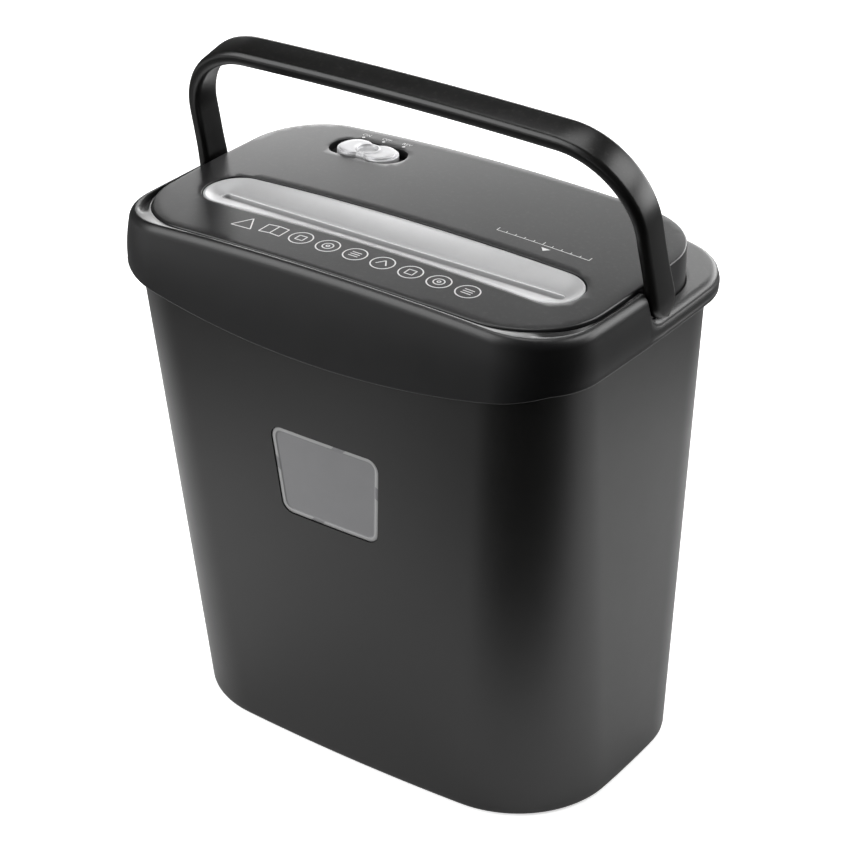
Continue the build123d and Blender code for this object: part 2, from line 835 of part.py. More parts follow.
with BuildPart() as cutter_bushings:
    for side in (-1, 1):
        middle = side * (plate_inner_x + plate_thickness / 2)
        for axis in (front_axis, rear_axis):
            with BuildSketch(Plane.YZ.offset(middle - bush_width / 2)):
                with Locations(axis):
                    Circle(bush_radius - press_play)
                    Circle(journal_radius + bush_running, mode=Mode.SUBTRACT)
            extrude(amount=bush_width)
cutter_bushings.part.label = "cutter_bushings"
export_step(cutter_bushings.part, "parts/cutter_bushings.step")

with BuildPart() as gear_studs:
    for axis in (second_axis, first_axis):
        round_bar(axis, stud_radius, plate_inner_x + plate_thickness, stud_end - plate_inner_x - plate_thickness)
        round_bar(axis, stud_head_radius, stud_end, stud_head)
gear_studs.part.label = "gear_studs"
export_step(gear_studs.part, "parts/gear_studs.step")


# ---- stripper combs: a bar along each roller with a finger in every gap ----
def build_comb(name, axis, gaps, side):
    bar_start = axis[0] + side * (disc_radius + comb_bar_gap)
    bar_end = bar_start + side * comb_bar
    finger_end = axis[0] + side * (spacer_radius + comb_clearance)
    with BuildPart() as comb:
        with BuildSketch(Plane.XY.offset(roller_z - comb_height / 2)):
            with Locations((0, (bar_start + bar_end) / 2)):
                Rectangle(2 * plate_inner_x, comb_bar)
            for x in gaps:
                with Locations((x, (bar_start + finger_end) / 2)):
                    Rectangle(comb_thickness, abs(bar_start - finger_end))
        extrude(amount=comb_height)
    comb.part.label = name
    export_step(comb.part, f"parts/{name}.step")
    return comb.part


build_comb("front_stripper", front_axis, rear_discs, -1)
build_comb("rear_stripper", rear_axis, front_discs, 1)

# ---- motor: can on the right side plate, shaft through to the pinion ----
with BuildPart() as motor_case:
    round_bar(motor_axis, motor_radius, plate_inner_x - motor_length, motor_length)
    boss_start = plate_inner_x - motor_length - motor_end_boss[1]
    round_bar(motor_axis, motor_end_boss[0], boss_start, motor_end_boss[1])
    ring_hole(motor_axis, motor_shaft_radius + motor_running, boss_start, plate_inner_x - boss_start)
motor_case.part.label = "motor_case"
export_step(motor_case.part, "parts/motor_case.step")

with BuildPart() as motor_shaft:
    shaft_start = boss_start - motor_shaft_end
    round_bar(motor_axis, motor_shaft_radius, shaft_start, layer_2 + gear_width - shaft_start)
motor_shaft.part.label = "motor_shaft"
export_step(motor_shaft.part, "parts/motor_shaft.step")

# ---- circuit board and what stands on it ----
with BuildPart() as circuit_board:
    with BuildSketch(Plane.XY.offset(board_z)):
        with Locations(board_centre):
            Rectangle(board_size[0], board_size[1])
    extrude(amount=board_size[2])
circuit_board.part.label = "circuit_board"
export_step(circuit_board.part, "parts/circuit_board.step")

board_top = board_z + board_size[2]
with BuildPart() as board_parts:
    for along, across, length, width, height in (transformer, relay):
        with BuildSketch(Plane.XY.offset(board_top)):
            with Locations((board_centre[0] + along, board_centre[1] + across)):
                Rectangle(length, width)
        extrude(amount=height)
    with BuildSketch(Plane.XY.offset(board_top)):
        with Locations((board_centre[0] + capacitor[0], board_centre[1] + capacitor[1])):
            Circle(capacitor[2])
    extrude(amount=capacitor[3])
board_parts.part.label = "board_parts"
export_step(board_parts.part, "parts/board_parts.step")

# ---- mode switch: fixed body under the recess, sliding knob above it ----
stem_bottom = recess_floor_z - recess_skin - stem_depth
body_top = recess_floor_z - recess_skin
with BuildPart() as mode_switch:
    with BuildSketch(Plane.XY.offset(body_top - switch_body[2])):
        with Locations(switch_centre):
            Rectangle(switch_body[0], switch_body[1])
    extrude(amount=switch_body[2])
    with BuildSketch(Plane.XY.offset(stem_bottom - stem_gap)):
        with Locations(switch_centre):
            Rectangle(stem_size[0] + 2 * (knob_travel + stem_gap), stem_size[1] + 2 * stem_gap)
    extrude(amount=stem_depth + stem_gap, mode=Mode.SUBTRACT)
mode_switch.part.label = "mode_switch"
export_step(mode_switch.part, "parts/mode_switch.step")

knob_bottom = recess_floor_z + knob_gap
with BuildPart() as mode_knob:
    with BuildSketch(Plane.XY.offset(knob_bottom)):
        with Locations(switch_centre):
            with Locations((-knob_lobe_offset, 0), (knob_lobe_offset, 0)):
                Circle(knob_lobe_radius)
            Rectangle(2 * knob_lobe_offset, knob_waist * knob_lobe_radius)
    extrude(amount=knob_height)
    # round dish for the finger tip
    with BuildSketch(Plane.XY.offset(knob_bottom + knob_height - knob_dish_depth)):
        with Locations(switch_centre):
            Circle(knob_dish_radius)
    extrude(amount=knob_dish_depth, mode=Mode.SUBTRACT)
    with BuildSketch(Plane.XY.offset(stem_bottom)):
        with Locations(switch_centre):
            Rectangle(stem_size[0], stem_size[1])
    extrude(amount=knob_bottom - stem_bottom)
mode_knob.part.label = "mode_knob"
export_step(mode_knob.part, "parts/mode_knob.step")

# ---- start switch and its lever, which the paper's edge pushes down ----
switch_low = plate_bottom - guide_flange - start_switch_size[2]
guide_rear_y = slot_y + slot_width / 2 + guide_wall
switch_start_x = lever_thickness / 2 + lever_side_gap
with BuildPart() as start_switch:
    with BuildSketch(Plane.XY.offset(switch_low)):
        with Locations((switch_start_x + start_switch_size[0] / 2, guide_rear_y + start_switch_gap)):
            Rectangle(start_switch_size[0], start_switch_size[1], align=(Align.CENTER, Align.MIN))
    extrude(amount=start_switch_size[2])
    round_bar(lever_pivot, lever_pin_radius, -switch_start_x, 2 * switch_start_x + lever_side_gap)
start_switch.part.label = "start_switch"
export_step(start_switch.part, "parts/start_switch.step")

with BuildPart() as start_lever:
    with BuildSketch(Plane.YZ.offset(-lever_thickness / 2)):
        with Locations(lever_pivot):
            Circle(lever_barrel_radius)
        with BuildLine():
            Polyline(
                (lever_pivot[0], lever_pivot[1] + lever_root_half),
                (lever_tip[0], lever_tip[1] + lever_tip_height),
                (lever_tip[0], lever_tip[1]),
                (lever_pivot[0], lever_pivot[1] - lever_root_half),
                close=True,
            )
        make_face()
        with Locations(lever_pivot):
            Circle(lever_pin_radius + pin_running, mode=Mode.SUBTRACT)
    extrude(amount=lever_thickness)
start_lever.part.label = "start_lever"
export_step(start_lever.part, "parts/start_lever.step")

# ---- interlock: a plunger that the bin's tab lifts when the head is in place ----
switch_ceiling = plunger_low + plunger_length + plunger_travel + switch_head_gap
with BuildPart() as interlock_switch:
    with BuildSketch(Plane.XY.offset(tray_top)):
        with Locations(interlock_xy):
            Rectangle(interlock_size[0], interlock_size[1])
            Circle(plunger_radius + plunger_running, mode=Mode.SUBTRACT)
    extrude(amount=switch_ceiling - tray_top)
    with BuildSketch(Plane.XY.offset(switch_ceiling)):
        with Locations(interlock_xy):
            Rectangle(interlock_size[0], interlock_size[1])
    extrude(amount=switch_cap)
interlock_switch.part.label = "interlock_switch"
export_step(interlock_switch.part, "parts/interlock_switch.step")

with BuildPart() as interlock_plunger:
    with BuildSketch(Plane.XY.offset(plunger_low)):
        with Locations(interlock_xy):
            Circle(plunger_radius)
    extrude(amount=plunger_length)
    chamfer(interlock_plunger.faces().sort_by(Axis.Z)[0].edges(), plunger_edge)
interlock_plunger.part.label = "interlock_plunger"
export_step(interlock_plunger.part, "parts/interlock_plunger.step")

# ---- handle: one moulded bail that leans on the rim and folds back over the shoulder ----
pivot = (0, pivot_y, pivot_z)
bail_plane = Plane(origin=pivot, x_dir=(1, 0, 0), z_dir=(0, -cos(lean), -sin(lean)))
side_plane = Plane(origin=pivot, x_dir=(0, cos(lean), sin(lean)), z_dir=(1, 0, 0))
half_width = handle_width / 2


def bail_outline(half, top, corner, foot):
    with BuildSketch(mode=Mode.PRIVATE) as outline:
        with BuildLine():
            ThreePointArc((-half, top - handle_arch), (0, top), (half, top - handle_arch))
            Polyline((half, top - handle_arch), (half, foot), (-half, foot), (-half, top - handle_arch))
        make_face()
        fillet(outline.vertices().sort_by(Axis.Y)[-2:], corner)
    return outline.sketch


with BuildPart() as handle:
    with BuildSketch(bail_plane):
        add(bail_outline(handle_half_x, handle_reach, handle_corner, -half_width))
        with BuildSketch(mode=Mode.PRIVATE) as inner:
            add(
                bail_outline(
                    handle_half_x - handle_leg_thickness,
                    handle_reach - handle_bar_thickness,
                    handle_corner - handle_leg_thickness,
                    -handle_width,
                )
            )
        add(inner.sketch, mode=Mode.SUBTRACT)
    extrude(amount=half_width, both=True)
    broad_faces = handle.faces().filter_by(Axis(pivot, tuple(bail_plane.z_dir)))
    chamfer(broad_faces.edges(), handle_edge)
    # the legs end in a half round about the pivot
    with BuildSketch(side_plane):
        with Locations((0, handle_reach / 2)):
            Rectangle(handle_width, handle_reach)
        Circle(half_width)
    extrude(amount=handle_half_x, both=True, mode=Mode.INTERSECT)
    for side in (-1, 1):
        with BuildSketch(Plane.YZ.offset(side * (handle_half_x - handle_leg_thickness))):
            with Locations((pivot_y, pivot_z)):
                Circle(pin_radius + press_play)
        extrude(amount=side * pin_depth, mode=Mode.SUBTRACT)
handle.part.label = "handle"
export_step(handle.part, "parts/handle.step")

pin_outer = handle_half_x - handle_leg_thickness + pin_depth
pin_inner = cover_half_x - cover_wall - pin_boss_length - pin_end_gap
with BuildPart() as handle_pins:
    for side in (-1, 1):
        round_bar((pivot_y, pivot_z), pin_radius, side * pin_inner, side * (pin_outer - pin_inner))
        round_bar((pivot_y, pivot_z), pin_head_radius, side * pin_inner, -side * pin_head)
handle_pins.part.label = "handle_pins"
export_step(handle_pins.part, "parts/handle_pins.step")
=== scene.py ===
import bpy
import numpy as np
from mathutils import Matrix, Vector
from mathutils.geometry import delaunay_2d_cdt


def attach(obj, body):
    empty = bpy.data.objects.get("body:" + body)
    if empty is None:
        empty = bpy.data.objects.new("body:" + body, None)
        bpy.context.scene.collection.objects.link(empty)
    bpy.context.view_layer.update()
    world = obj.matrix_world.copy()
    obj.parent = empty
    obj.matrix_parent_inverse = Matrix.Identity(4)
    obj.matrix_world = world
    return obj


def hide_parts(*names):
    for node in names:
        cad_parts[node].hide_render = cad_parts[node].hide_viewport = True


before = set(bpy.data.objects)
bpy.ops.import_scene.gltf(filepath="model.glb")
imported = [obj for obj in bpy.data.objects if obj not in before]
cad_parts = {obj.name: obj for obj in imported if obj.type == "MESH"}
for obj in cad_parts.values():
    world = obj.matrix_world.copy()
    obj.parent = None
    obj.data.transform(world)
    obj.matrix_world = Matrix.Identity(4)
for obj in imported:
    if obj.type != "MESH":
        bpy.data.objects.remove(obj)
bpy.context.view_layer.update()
mm = 0.001
pi = np.pi
print("frame loaded:", len(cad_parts), "nodes")


# Mesh from points in millimetres and a list of index arrays, one row for each face.
def buildMesh(name, points, faces):
    mesh = bpy.data.meshes.new(name)
    corners = [list(face) for block in faces for face in block.tolist()]
    mesh.from_pydata((np.asarray(points) * mm).tolist(), [], corners)
    mesh.validate()
    return mesh


# Object at the origin with its finish, the CAD nodes it stands for and the body it rides on.
def addPiece(name, mesh, body, slot, material, replaced=(), sharp=35):
    piece = bpy.data.objects.new(name, mesh)
    bpy.context.scene.collection.objects.link(piece)
    mesh.shade_smooth()
    mesh.set_sharp_from_angle(angle=np.radians(sharp))
    mesh.materials.clear()
    mesh.materials.append(material)
    if replaced:
        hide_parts(*replaced)
    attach(piece, body)
    return piece


# Quads between neighbouring rows of a grid whose columns close on themselves.
def ringQuads(rows, cols, wrapRows=False):
    i = np.arange(rows if wrapRows else rows - 1)[:, None]
    j = np.arange(cols)[None, :]
    up = (i + 1) % rows
    right = (j + 1) % cols
    corners = (i * cols + j, i * cols + right, up * cols + right, up * cols + j)
    return np.stack(np.broadcast_arrays(*corners), axis=-1).reshape(-1, 4)


# Shell from rings of points; both ends close on a pole in their middle.
def closedShell(rings):
    rows, cols, _ = rings.shape
    poles = np.stack([rings[0].mean(axis=0), rings[-1].mean(axis=0)])
    points = np.vstack([rings.reshape(-1, 3), poles])
    j = np.arange(cols)
    k = (j + 1) % cols
    low = np.stack([np.full(cols, rows * cols), k, j], axis=-1)
    last = (rows - 1) * cols
    high = np.stack([last + j, last + k, np.full(cols, rows * cols + 1)], axis=-1)
    return points, [ringQuads(rows, cols), low, high]


# Points on a circle from one angle to another: centre + radius * (cos, sin).
def arcBetween(centre, radius, start, end, count, ends=True):
    angle = np.linspace(start, end, count, endpoint=ends)
    return centre + radius * np.stack([np.cos(angle), np.sin(angle)], axis=-1)


# Where two circles cross, on the side of a given place: the foot lies (rA^2 - rB^2 + d^2) / 2d
# from A towards B, and the crossing sqrt(rA^2 - foot^2) to one side of it.
def crossing(centreA, radiusA, centreB, radiusB, near):
    gap = centreB - centreA
    distance = np.linalg.norm(gap)
    along = (radiusA**2 - radiusB**2 + distance**2) / (2 * distance)
    off = np.sqrt(radiusA**2 - along**2)
    unit = gap / distance
    side = np.array([-unit[1], unit[0]])
    options = [centreA + along * unit + off * side, centreA + along * unit - off * side]
    return min(options, key=lambda p: np.linalg.norm(p - near))


# Radius of an arc from half its chord and its bow: (half^2 + bow^2) / (2 * bow).
def bowRadius(halfChord, bow):
    return (halfChord**2 + bow**2) / (2 * bow)


# Right half of a rounded rectangle with bowed sides, from front middle to rear middle:
# three large arcs joined by two corner arcs that are tangent to them.
def halfOutline(halfX, front, rear, bow, corners, stops):
    low, high = front + bow[0], rear - bow[0]
    edgeX, middle, halfY = halfX - bow[1], (low + high) / 2, (high - low) / 2
    broad, deep = bowRadius(edgeX, bow[0]), bowRadius(halfY, bow[1])
    frontC, rearC = np.array([0, front + broad]), np.array([0, rear - broad])
    sideC = np.array([halfX - deep, middle])
    cornerF = crossing(frontC, broad - corners[0], sideC, deep - corners[0], np.array([edgeX, low]))
    cornerR = crossing(rearC, broad - corners[1], sideC, deep - corners[1], np.array([edgeX, high]))
    angleOf = lambda a, b: np.arctan2(b[1] - a[1], b[0] - a[0])
    sideLow, sideHigh = angleOf(sideC, cornerF), angleOf(sideC, cornerR)
    sideAngle = sideLow + (sideHigh - sideLow) * stops["side"]
    parts = [
        arcBetween(frontC, broad, -pi / 2, angleOf(frontC, cornerF), stops["front"], False),
        arcBetween(cornerF, corners[0], angleOf(frontC, cornerF), sideLow, stops["corner"], False),
        sideC + deep * np.stack([np.cos(sideAngle), np.sin(sideAngle)], axis=-1),
        arcBetween(cornerR, corners[1], sideHigh, angleOf(rearC, cornerR), stops["corner"] + 1)[1:],
        arcBetween(rearC, broad, angleOf(rearC, cornerR), pi / 2, stops["front"] + 1)[1:],
    ]
    return np.vstack(parts)


# Whole loop: the right half, then its mirror image without the two middle points.
def fullLoop(half):
    mirrored = half[-2:0:-1] * np.array([-1, 1])
    return np.vstack([half, mirrored])


# Unit normals of a closed loop that runs anticlockwise, pointing inwards.
def inwardNormals(loop):
    tangent = np.roll(loop, -1, axis=0) - np.roll(loop, 1, axis=0)
    tangent /= np.linalg.norm(tangent, axis=1)[:, None]
    return np.stack([-tangent[:, 1], tangent[:, 0]], axis=-1)


# Flat loop lifted to one height, or to a height of its own at each point.
def onHeight(loop, height):
    return np.column_stack([loop, np.broadcast_to(height, len(loop))])


# Quarter round as (inset, drop) pairs, from the foot of an edge to its top.
def quarterRound(radius, steps):
    angle = np.linspace(0, pi / 2, steps + 1)
    return np.stack([radius * (1 - np.cos(angle)), radius * (1 - np.sin(angle))], axis=-1)


# radii of the rim's and the deck's arcs, in millimetres; rise for each millimetre to the rear
dome = {"crown": 320.0, "radius": 1460.0, "deckRadius": 1950.0, "rise": 0.02}


# Height of the deck: a circle's arc along X, plus a steady rise towards the rear.
def domeHeight(x, y, rise=dome["rise"], radius=dome["deckRadius"]):
    return dome["crown"] + rise * y - (radius - np.sqrt(radius**2 - x**2))


# Empty node group with named inputs and outputs.
def groupWith(name, inputs, outputs):
    group = bpy.data.node_groups.new(name, "ShaderNodeTree")
    for label, kind, value in inputs:
        group.interface.new_socket(label, in_out="INPUT", socket_type=kind).default_value = value
    for label, kind in outputs:
        group.interface.new_socket(label, in_out="OUTPUT", socket_type=kind)
    return group, group.nodes.new("NodeGroupInput"), group.nodes.new("NodeGroupOutput")


# Puts a number on a socket, or links another node's output to it.
def feed(tree, socket, value):
    if isinstance(value, (int, float)):
        socket.default_value = value
    else:
        tree.links.new(value, socket)


def mathNode(tree, kind, a, b, clamp=False):
    node = tree.nodes.new("ShaderNodeMath")
    node.operation = kind
    node.use_clamp = clamp
    feed(tree, node.inputs[0], a)
    feed(tree, node.inputs[1], b)
    return node.outputs[0]


def noiseNode(tree, vector, scale, detail, rough):
    node = tree.nodes.new("ShaderNodeTexNoise")
    tree.links.new(vector, node.inputs["Vector"])
    for label, value in (("Scale", scale), ("Detail", detail), ("Roughness", rough)):
        feed(tree, node.inputs[label], value)
    return node.outputs["Fac"]


# Smooth step: 0 below the low value, 1 above the high one.
def rampNode(tree, value, low, high):
    node = tree.nodes.new("ShaderNodeMapRange")
    node.interpolation_type = "SMOOTHSTEP"
    tree.links.new(value, node.inputs["Value"])
    node.inputs["From Min"].default_value = low
    node.inputs["From Max"].default_value = high
    return node.outputs["Result"]


# Each noise is (scale, detail, roughness); each range is (low, high) of a smooth step.
grainLook = {"scale": 1800.0, "waviness": 0.2, "fine": (2.0, 0.6), "slow": (22.0, 2.0, 0.5), "patch": (60.0, 4.0, 0.6)}
rubAndSheenLook = {"amount": 0.5, "pointed": (0.52, 0.60), "noise": (140.0, 5.0, 0.65), "broken": (0.42, 0.62)}
dustLook = {
    "amount": 0.1, "facing": (0.3, 1.0), "noise": (420.0, 6.0, 0.7), "speck": (0.5, 0.72),
    "colour": (0.35, 0.34, 0.32), "roughness": 0.3,
}


# Spark-eroded mould texture: fine pits plus a slow wave; a second noise parts two tones.
def makeMouldGrain():
    inputs = [
        ("Vector", "NodeSocketVector", (0, 0, 0)), ("Scale", "NodeSocketFloat", grainLook["scale"]),
        ("Waviness", "NodeSocketFloat", grainLook["waviness"]),
    ]
    outputs = [("Height", "NodeSocketFloat"), ("Patch", "NodeSocketFloat")]
    group, entry, leave = groupWith("mouldGrain", inputs, outputs)
    place = entry.outputs["Vector"]
    fine = noiseNode(group, place, entry.outputs["Scale"], *grainLook["fine"])
    slow = noiseNode(group, place, *grainLook["slow"])
    wave = mathNode(group, "MULTIPLY", slow, entry.outputs["Waviness"])
    group.links.new(mathNode(group, "ADD", fine, wave), leave.inputs["Height"])
    group.links.new(noiseNode(group, place, *grainLook["patch"]), leave.inputs["Patch"])
    return group


# Group that puts out Amount * where * broken: a place on the surface, broken up by noise.
def maskGroup(name, amount, findPlace, noise, broken):
    inputs = [("Vector", "NodeSocketVector", (0, 0, 0)), ("Amount", "NodeSocketFloat", amount)]
    group, entry, leave = groupWith(name, inputs, [("Mask", "NodeSocketFloat")])
    where = findPlace(group, group.nodes.new("ShaderNodeNewGeometry"))
    patches = rampNode(group, noiseNode(group, entry.outputs["Vector"], *noise), *broken)
    mask = mathNode(group, "MULTIPLY", where, patches)
    group.links.new(mathNode(group, "MULTIPLY", mask, entry.outputs["Amount"], clamp=True), leave.inputs["Mask"])
    return group


# Rubbing sits on outer edges, where the surface is pointed; on the collar the lighter edge tone is a painted highlight
# instead of wear.
def pointedEdges(group, geometry):
    return rampNode(group, geometry.outputs["Pointiness"], *rubAndSheenLook["pointed"])


# Dust settles on what faces up.
def facingUp(group, geometry):
    split = group.nodes.new("ShaderNodeSeparateXYZ")
    group.links.new(geometry.outputs["Normal"], split.inputs[0])
    return rampNode(group, split.outputs["Z"], *dustLook["facing"])


mouldGrain = makeMouldGrain()
edgeRubAndSheen = maskGroup("edgeRubAndSheen", rubAndSheenLook["amount"], pointedEdges, rubAndSheenLook["noise"], rubAndSheenLook["broken"])
dustFilm = maskGroup("dustFilm", dustLook["amount"], facingUp, dustLook["noise"], dustLook["speck"])


# A group in a material, read at one place, with values of its own.
def placeGroup(tree, group, vector, **values):
    node = tree.nodes.new("ShaderNodeGroup")
    node.node_tree = group
    tree.links.new(vector, node.inputs["Vector"])
    for label, value in values.items():
        node.inputs[label].default_value = value
    return node


# Colour A where the mask is 0, colour B where it is 1.
def blendColour(tree, mask, colourA, colourB):
    node = tree.nodes.new("ShaderNodeMix")
    node.data_type = "RGBA"
    tree.links.new(mask, node.inputs["Factor"])
    for index, colour in ((6, colourA), (7, colourB)):
        if isinstance(colour, tuple):
            node.inputs[index].default_value = (*colour, 1)
        else:
            tree.links.new(colour, node.inputs[index])
    return node.outputs[2]


# A moulded, painted or machined finish: two close tones, grain bump, rubbed edges (a painted highlight on the
# collar) and a little dust; roughness = rough + spread * (patch - 1/2) + what the dust adds.
def mouldedFinish(name, finish):
    material = bpy.data.materials.new(name)
    material.use_nodes = True
    tree = material.node_tree
    shader = tree.nodes["Principled BSDF"]
    place = tree.nodes.new("ShaderNodeTexCoord").outputs["Object"]
    grain = placeGroup(tree, mouldGrain, place, Scale=finish["grain"], Waviness=finish["wave"])
    rubAndSheen = placeGroup(tree, edgeRubAndSheen, place, Amount=finish["rubAndSheen"])
    dust = placeGroup(tree, dustFilm, place, Amount=finish["dust"])
    tone = blendColour(tree, grain.outputs["Patch"], finish["dark"], finish["light"])
    # pointed edges take the rubbed tone: wear on most finishes, a painted highlight on the collar
    tone = blendColour(tree, rubAndSheen.outputs["Mask"], tone, finish["rubbedAndSheen"])
    tone = blendColour(tree, dust.outputs["Mask"], tone, dustLook["colour"])
    tree.links.new(tone, shader.inputs["Base Color"])
    spread = mathNode(tree, "MULTIPLY", grain.outputs["Patch"], finish["roughSpread"])
    rough = mathNode(tree, "ADD", spread, finish["rough"] - finish["roughSpread"] / 2)
    dusty = mathNode(tree, "MULTIPLY", dust.outputs["Mask"], dustLook["roughness"])
    tree.links.new(mathNode(tree, "ADD", rough, dusty), shader.inputs["Roughness"])
    bump = tree.nodes.new("ShaderNodeBump")
    bump.inputs["Distance"].default_value = finish["depth"] * mm
    bump.inputs["Strength"].default_value = finish["bump"]
    tree.links.new(grain.outputs["Height"], bump.inputs["Height"])
    tree.links.new(bump.outputs["Normal"], shader.inputs["Normal"])
    shader.inputs["Metallic"].default_value = finish["metal"]
    shader.inputs["Specular IOR Level"].default_value = finish["specular"]
    return material


# what a finish doesn't say itself; grain depth in millimetres
plain = {
    "grain": 1800.0, "wave": 0.2, "rubAndSheen": 0.2, "dust": 0.05, "rough": 0.45, "roughSpread": 0.06,
    "depth": 0.03, "bump": 0.35, "rubbedAndSheen": (0.02, 0.02, 0.02), "metal": 0.0, "specular": 0.5,
}
finishes = {
    "binPlastic": {
        "dark": (0.0032, 0.0030, 0.0029), "light": (0.0044, 0.0041, 0.0040),
        "rough": 0.37, "specular": 0.62,
    },
    "collarPlastic": {
        "dark": (0.0040, 0.0040, 0.0043), "light": (0.0052, 0.0052, 0.0056),
        # the lighter rubbed edge tone here is a painted highlight along the collar's rim and skirt edge
        "rough": 0.38, "grain": 2600.0, "bump": 0.2, "specular": 0.52, "rubAndSheen": 0.12, "rubbedAndSheen": (0.04, 0.04, 0.042),
    },
    "deckPlastic": {
        "dark": (0.009, 0.009, 0.0095), "light": (0.012, 0.012, 0.0125),
        "rough": 0.33, "bump": 0.35, "grain": 2200.0,
    },
    "recessPlastic": {
        "dark": (0.0030, 0.0030, 0.0030), "light": (0.0045, 0.0045, 0.0045),
        "rough": 0.4,
    },
    "handlePlastic": {
        "dark": (0.0020, 0.0019, 0.0018), "light": (0.0028, 0.0027, 0.0026),
        "rough": 0.3, "grain": 2600.0, "bump": 0.18, "specular": 0.42,
    },
    "silverPaint": {
        "dark": (0.52, 0.52, 0.525), "light": (0.58, 0.58, 0.585),
        "rough": 0.44, "grain": 5200.0, "bump": 0.25, "metal": 0.4, "rubbedAndSheen": (0.7, 0.7, 0.7),
    },
    "knobPaint": {
        "dark": (0.54, 0.54, 0.55), "light": (0.60, 0.60, 0.61),
        "rough": 0.4, "grain": 5200.0, "bump": 0.2, "metal": 0.3, "rubbedAndSheen": (0.8, 0.8, 0.8),
    },
    "frostedWindow": {
        "dark": (0.19, 0.19, 0.195), "light": (0.22, 0.22, 0.225),
        "rough": 0.42, "wave": 1.2, "bump": 0.3, "rubbedAndSheen": (0.4, 0.4, 0.4),
    },
    "windowRim": {
        "dark": (0.33, 0.33, 0.33), "light": (0.38, 0.38, 0.38),
        "rough": 0.3, "wave": 1.0, "rubbedAndSheen": (0.5, 0.5, 0.5),
    },
    "markInk": {
        "dark": (0.55, 0.55, 0.55), "light": (0.70, 0.70, 0.70),
        "rough": 0.5, "grain": 4000.0, "rubbedAndSheen": (0.7, 0.7, 0.7),
    },
    "guidePlastic": {"dark": (0.10, 0.10, 0.10), "light": (0.13, 0.13, 0.13)},
    "trayPlastic": {"dark": (0.020, 0.020, 0.021), "light": (0.026, 0.026, 0.027), "rough": 0.48},
    "cutterSteel": {
        "dark": (0.34, 0.34, 0.335), "light": (0.46, 0.46, 0.45),
        "rough": 0.30, "roughSpread": 0.16, "metal": 1.0, "rubAndSheen": 0.6, "rubbedAndSheen": (0.7, 0.7, 0.69),
    },
    "gearSteel": {
        "dark": (0.27, 0.27, 0.28), "light": (0.36, 0.36, 0.37),
        "rough": 0.42, "metal": 1.0, "rubAndSheen": 0.5, "rubbedAndSheen": (0.6, 0.6, 0.6),
    },
    "gearNylon": {
        "dark": (0.62, 0.61, 0.56), "light": (0.70, 0.69, 0.64),
        "rubbedAndSheen": (0.8, 0.79, 0.74),
    },
    "plateSteel": {
        "dark": (0.46, 0.47, 0.48), "light": (0.56, 0.57, 0.58),
        "rough": 0.33, "roughSpread": 0.14, "metal": 1.0, "rubbedAndSheen": (0.7, 0.7, 0.7),
    },
    "bushingBronze": {
        "dark": (0.42, 0.29, 0.14), "light": (0.54, 0.38, 0.19),
        "rough": 0.4, "metal": 1.0, "rubbedAndSheen": (0.7, 0.52, 0.3),
    },
    "combPlastic": {"dark": (0.035, 0.035, 0.035), "light": (0.045, 0.045, 0.045)},
    "motorSteel": {
        "dark": (0.36, 0.36, 0.37), "light": (0.45, 0.45, 0.46),
        "rough": 0.36, "metal": 1.0, "rubbedAndSheen": (0.6, 0.6, 0.6),
    },
    "shaftSteel": {
        "dark": (0.52, 0.52, 0.52), "light": (0.60, 0.60, 0.60),
        "rough": 0.22, "metal": 1.0, "rubbedAndSheen": (0.75, 0.75, 0.75),
    },
    "solderMask": {"dark": (0.025, 0.15, 0.065), "light": (0.035, 0.20, 0.09), "rough": 0.3},
    "boardBlack": {"dark": (0.02, 0.02, 0.02), "light": (0.03, 0.03, 0.03)},
    "switchPlastic": {"dark": (0.028, 0.028, 0.028), "light": (0.036, 0.036, 0.036), "rough": 0.4},
    "leverPlastic": {
        "dark": (0.52, 0.52, 0.50), "light": (0.60, 0.60, 0.58),
        "rubbedAndSheen": (0.7, 0.7, 0.68),
    },
}
material = {name: mouldedFinish(name, {**plain, **finish}) for name, finish in finishes.items()}
print("materials made:", len(material))

# CAD nodes that stay in view get their own finish.
nodeFinish = {
    "paper_guide": "guidePlastic", "base_tray": "trayPlastic",
    "front_cutter": "cutterSteel", "rear_cutter": "cutterSteel",
    "front_cutter_gear": "gearSteel", "rear_cutter_gear": "gearSteel", "rear_drive_gear": "gearSteel",
    "second_stage_gear": "gearNylon", "first_stage_gear": "gearNylon", "motor_pinion": "gearSteel",
    "left_side_plate": "plateSteel", "right_side_plate": "plateSteel", "tie_rods": "plateSteel",
    "cutter_bushings": "bushingBronze", "gear_studs": "shaftSteel", "front_stripper": "combPlastic",
    "rear_stripper": "combPlastic", "motor_case": "motorSteel", "motor_shaft": "shaftSteel",
    "circuit_board": "solderMask", "board_parts": "boardBlack", "mode_switch": "switchPlastic",
    "start_switch": "switchPlastic", "start_lever": "leverPlastic", "interlock_switch": "switchPlastic",
    "interlock_plunger": "leverPlastic", "handle_pins": "shaftSteel",
}
for node, finish in nodeFinish.items():
    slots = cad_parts[node].data.materials
    slots.clear()
    slots.append(material[finish])

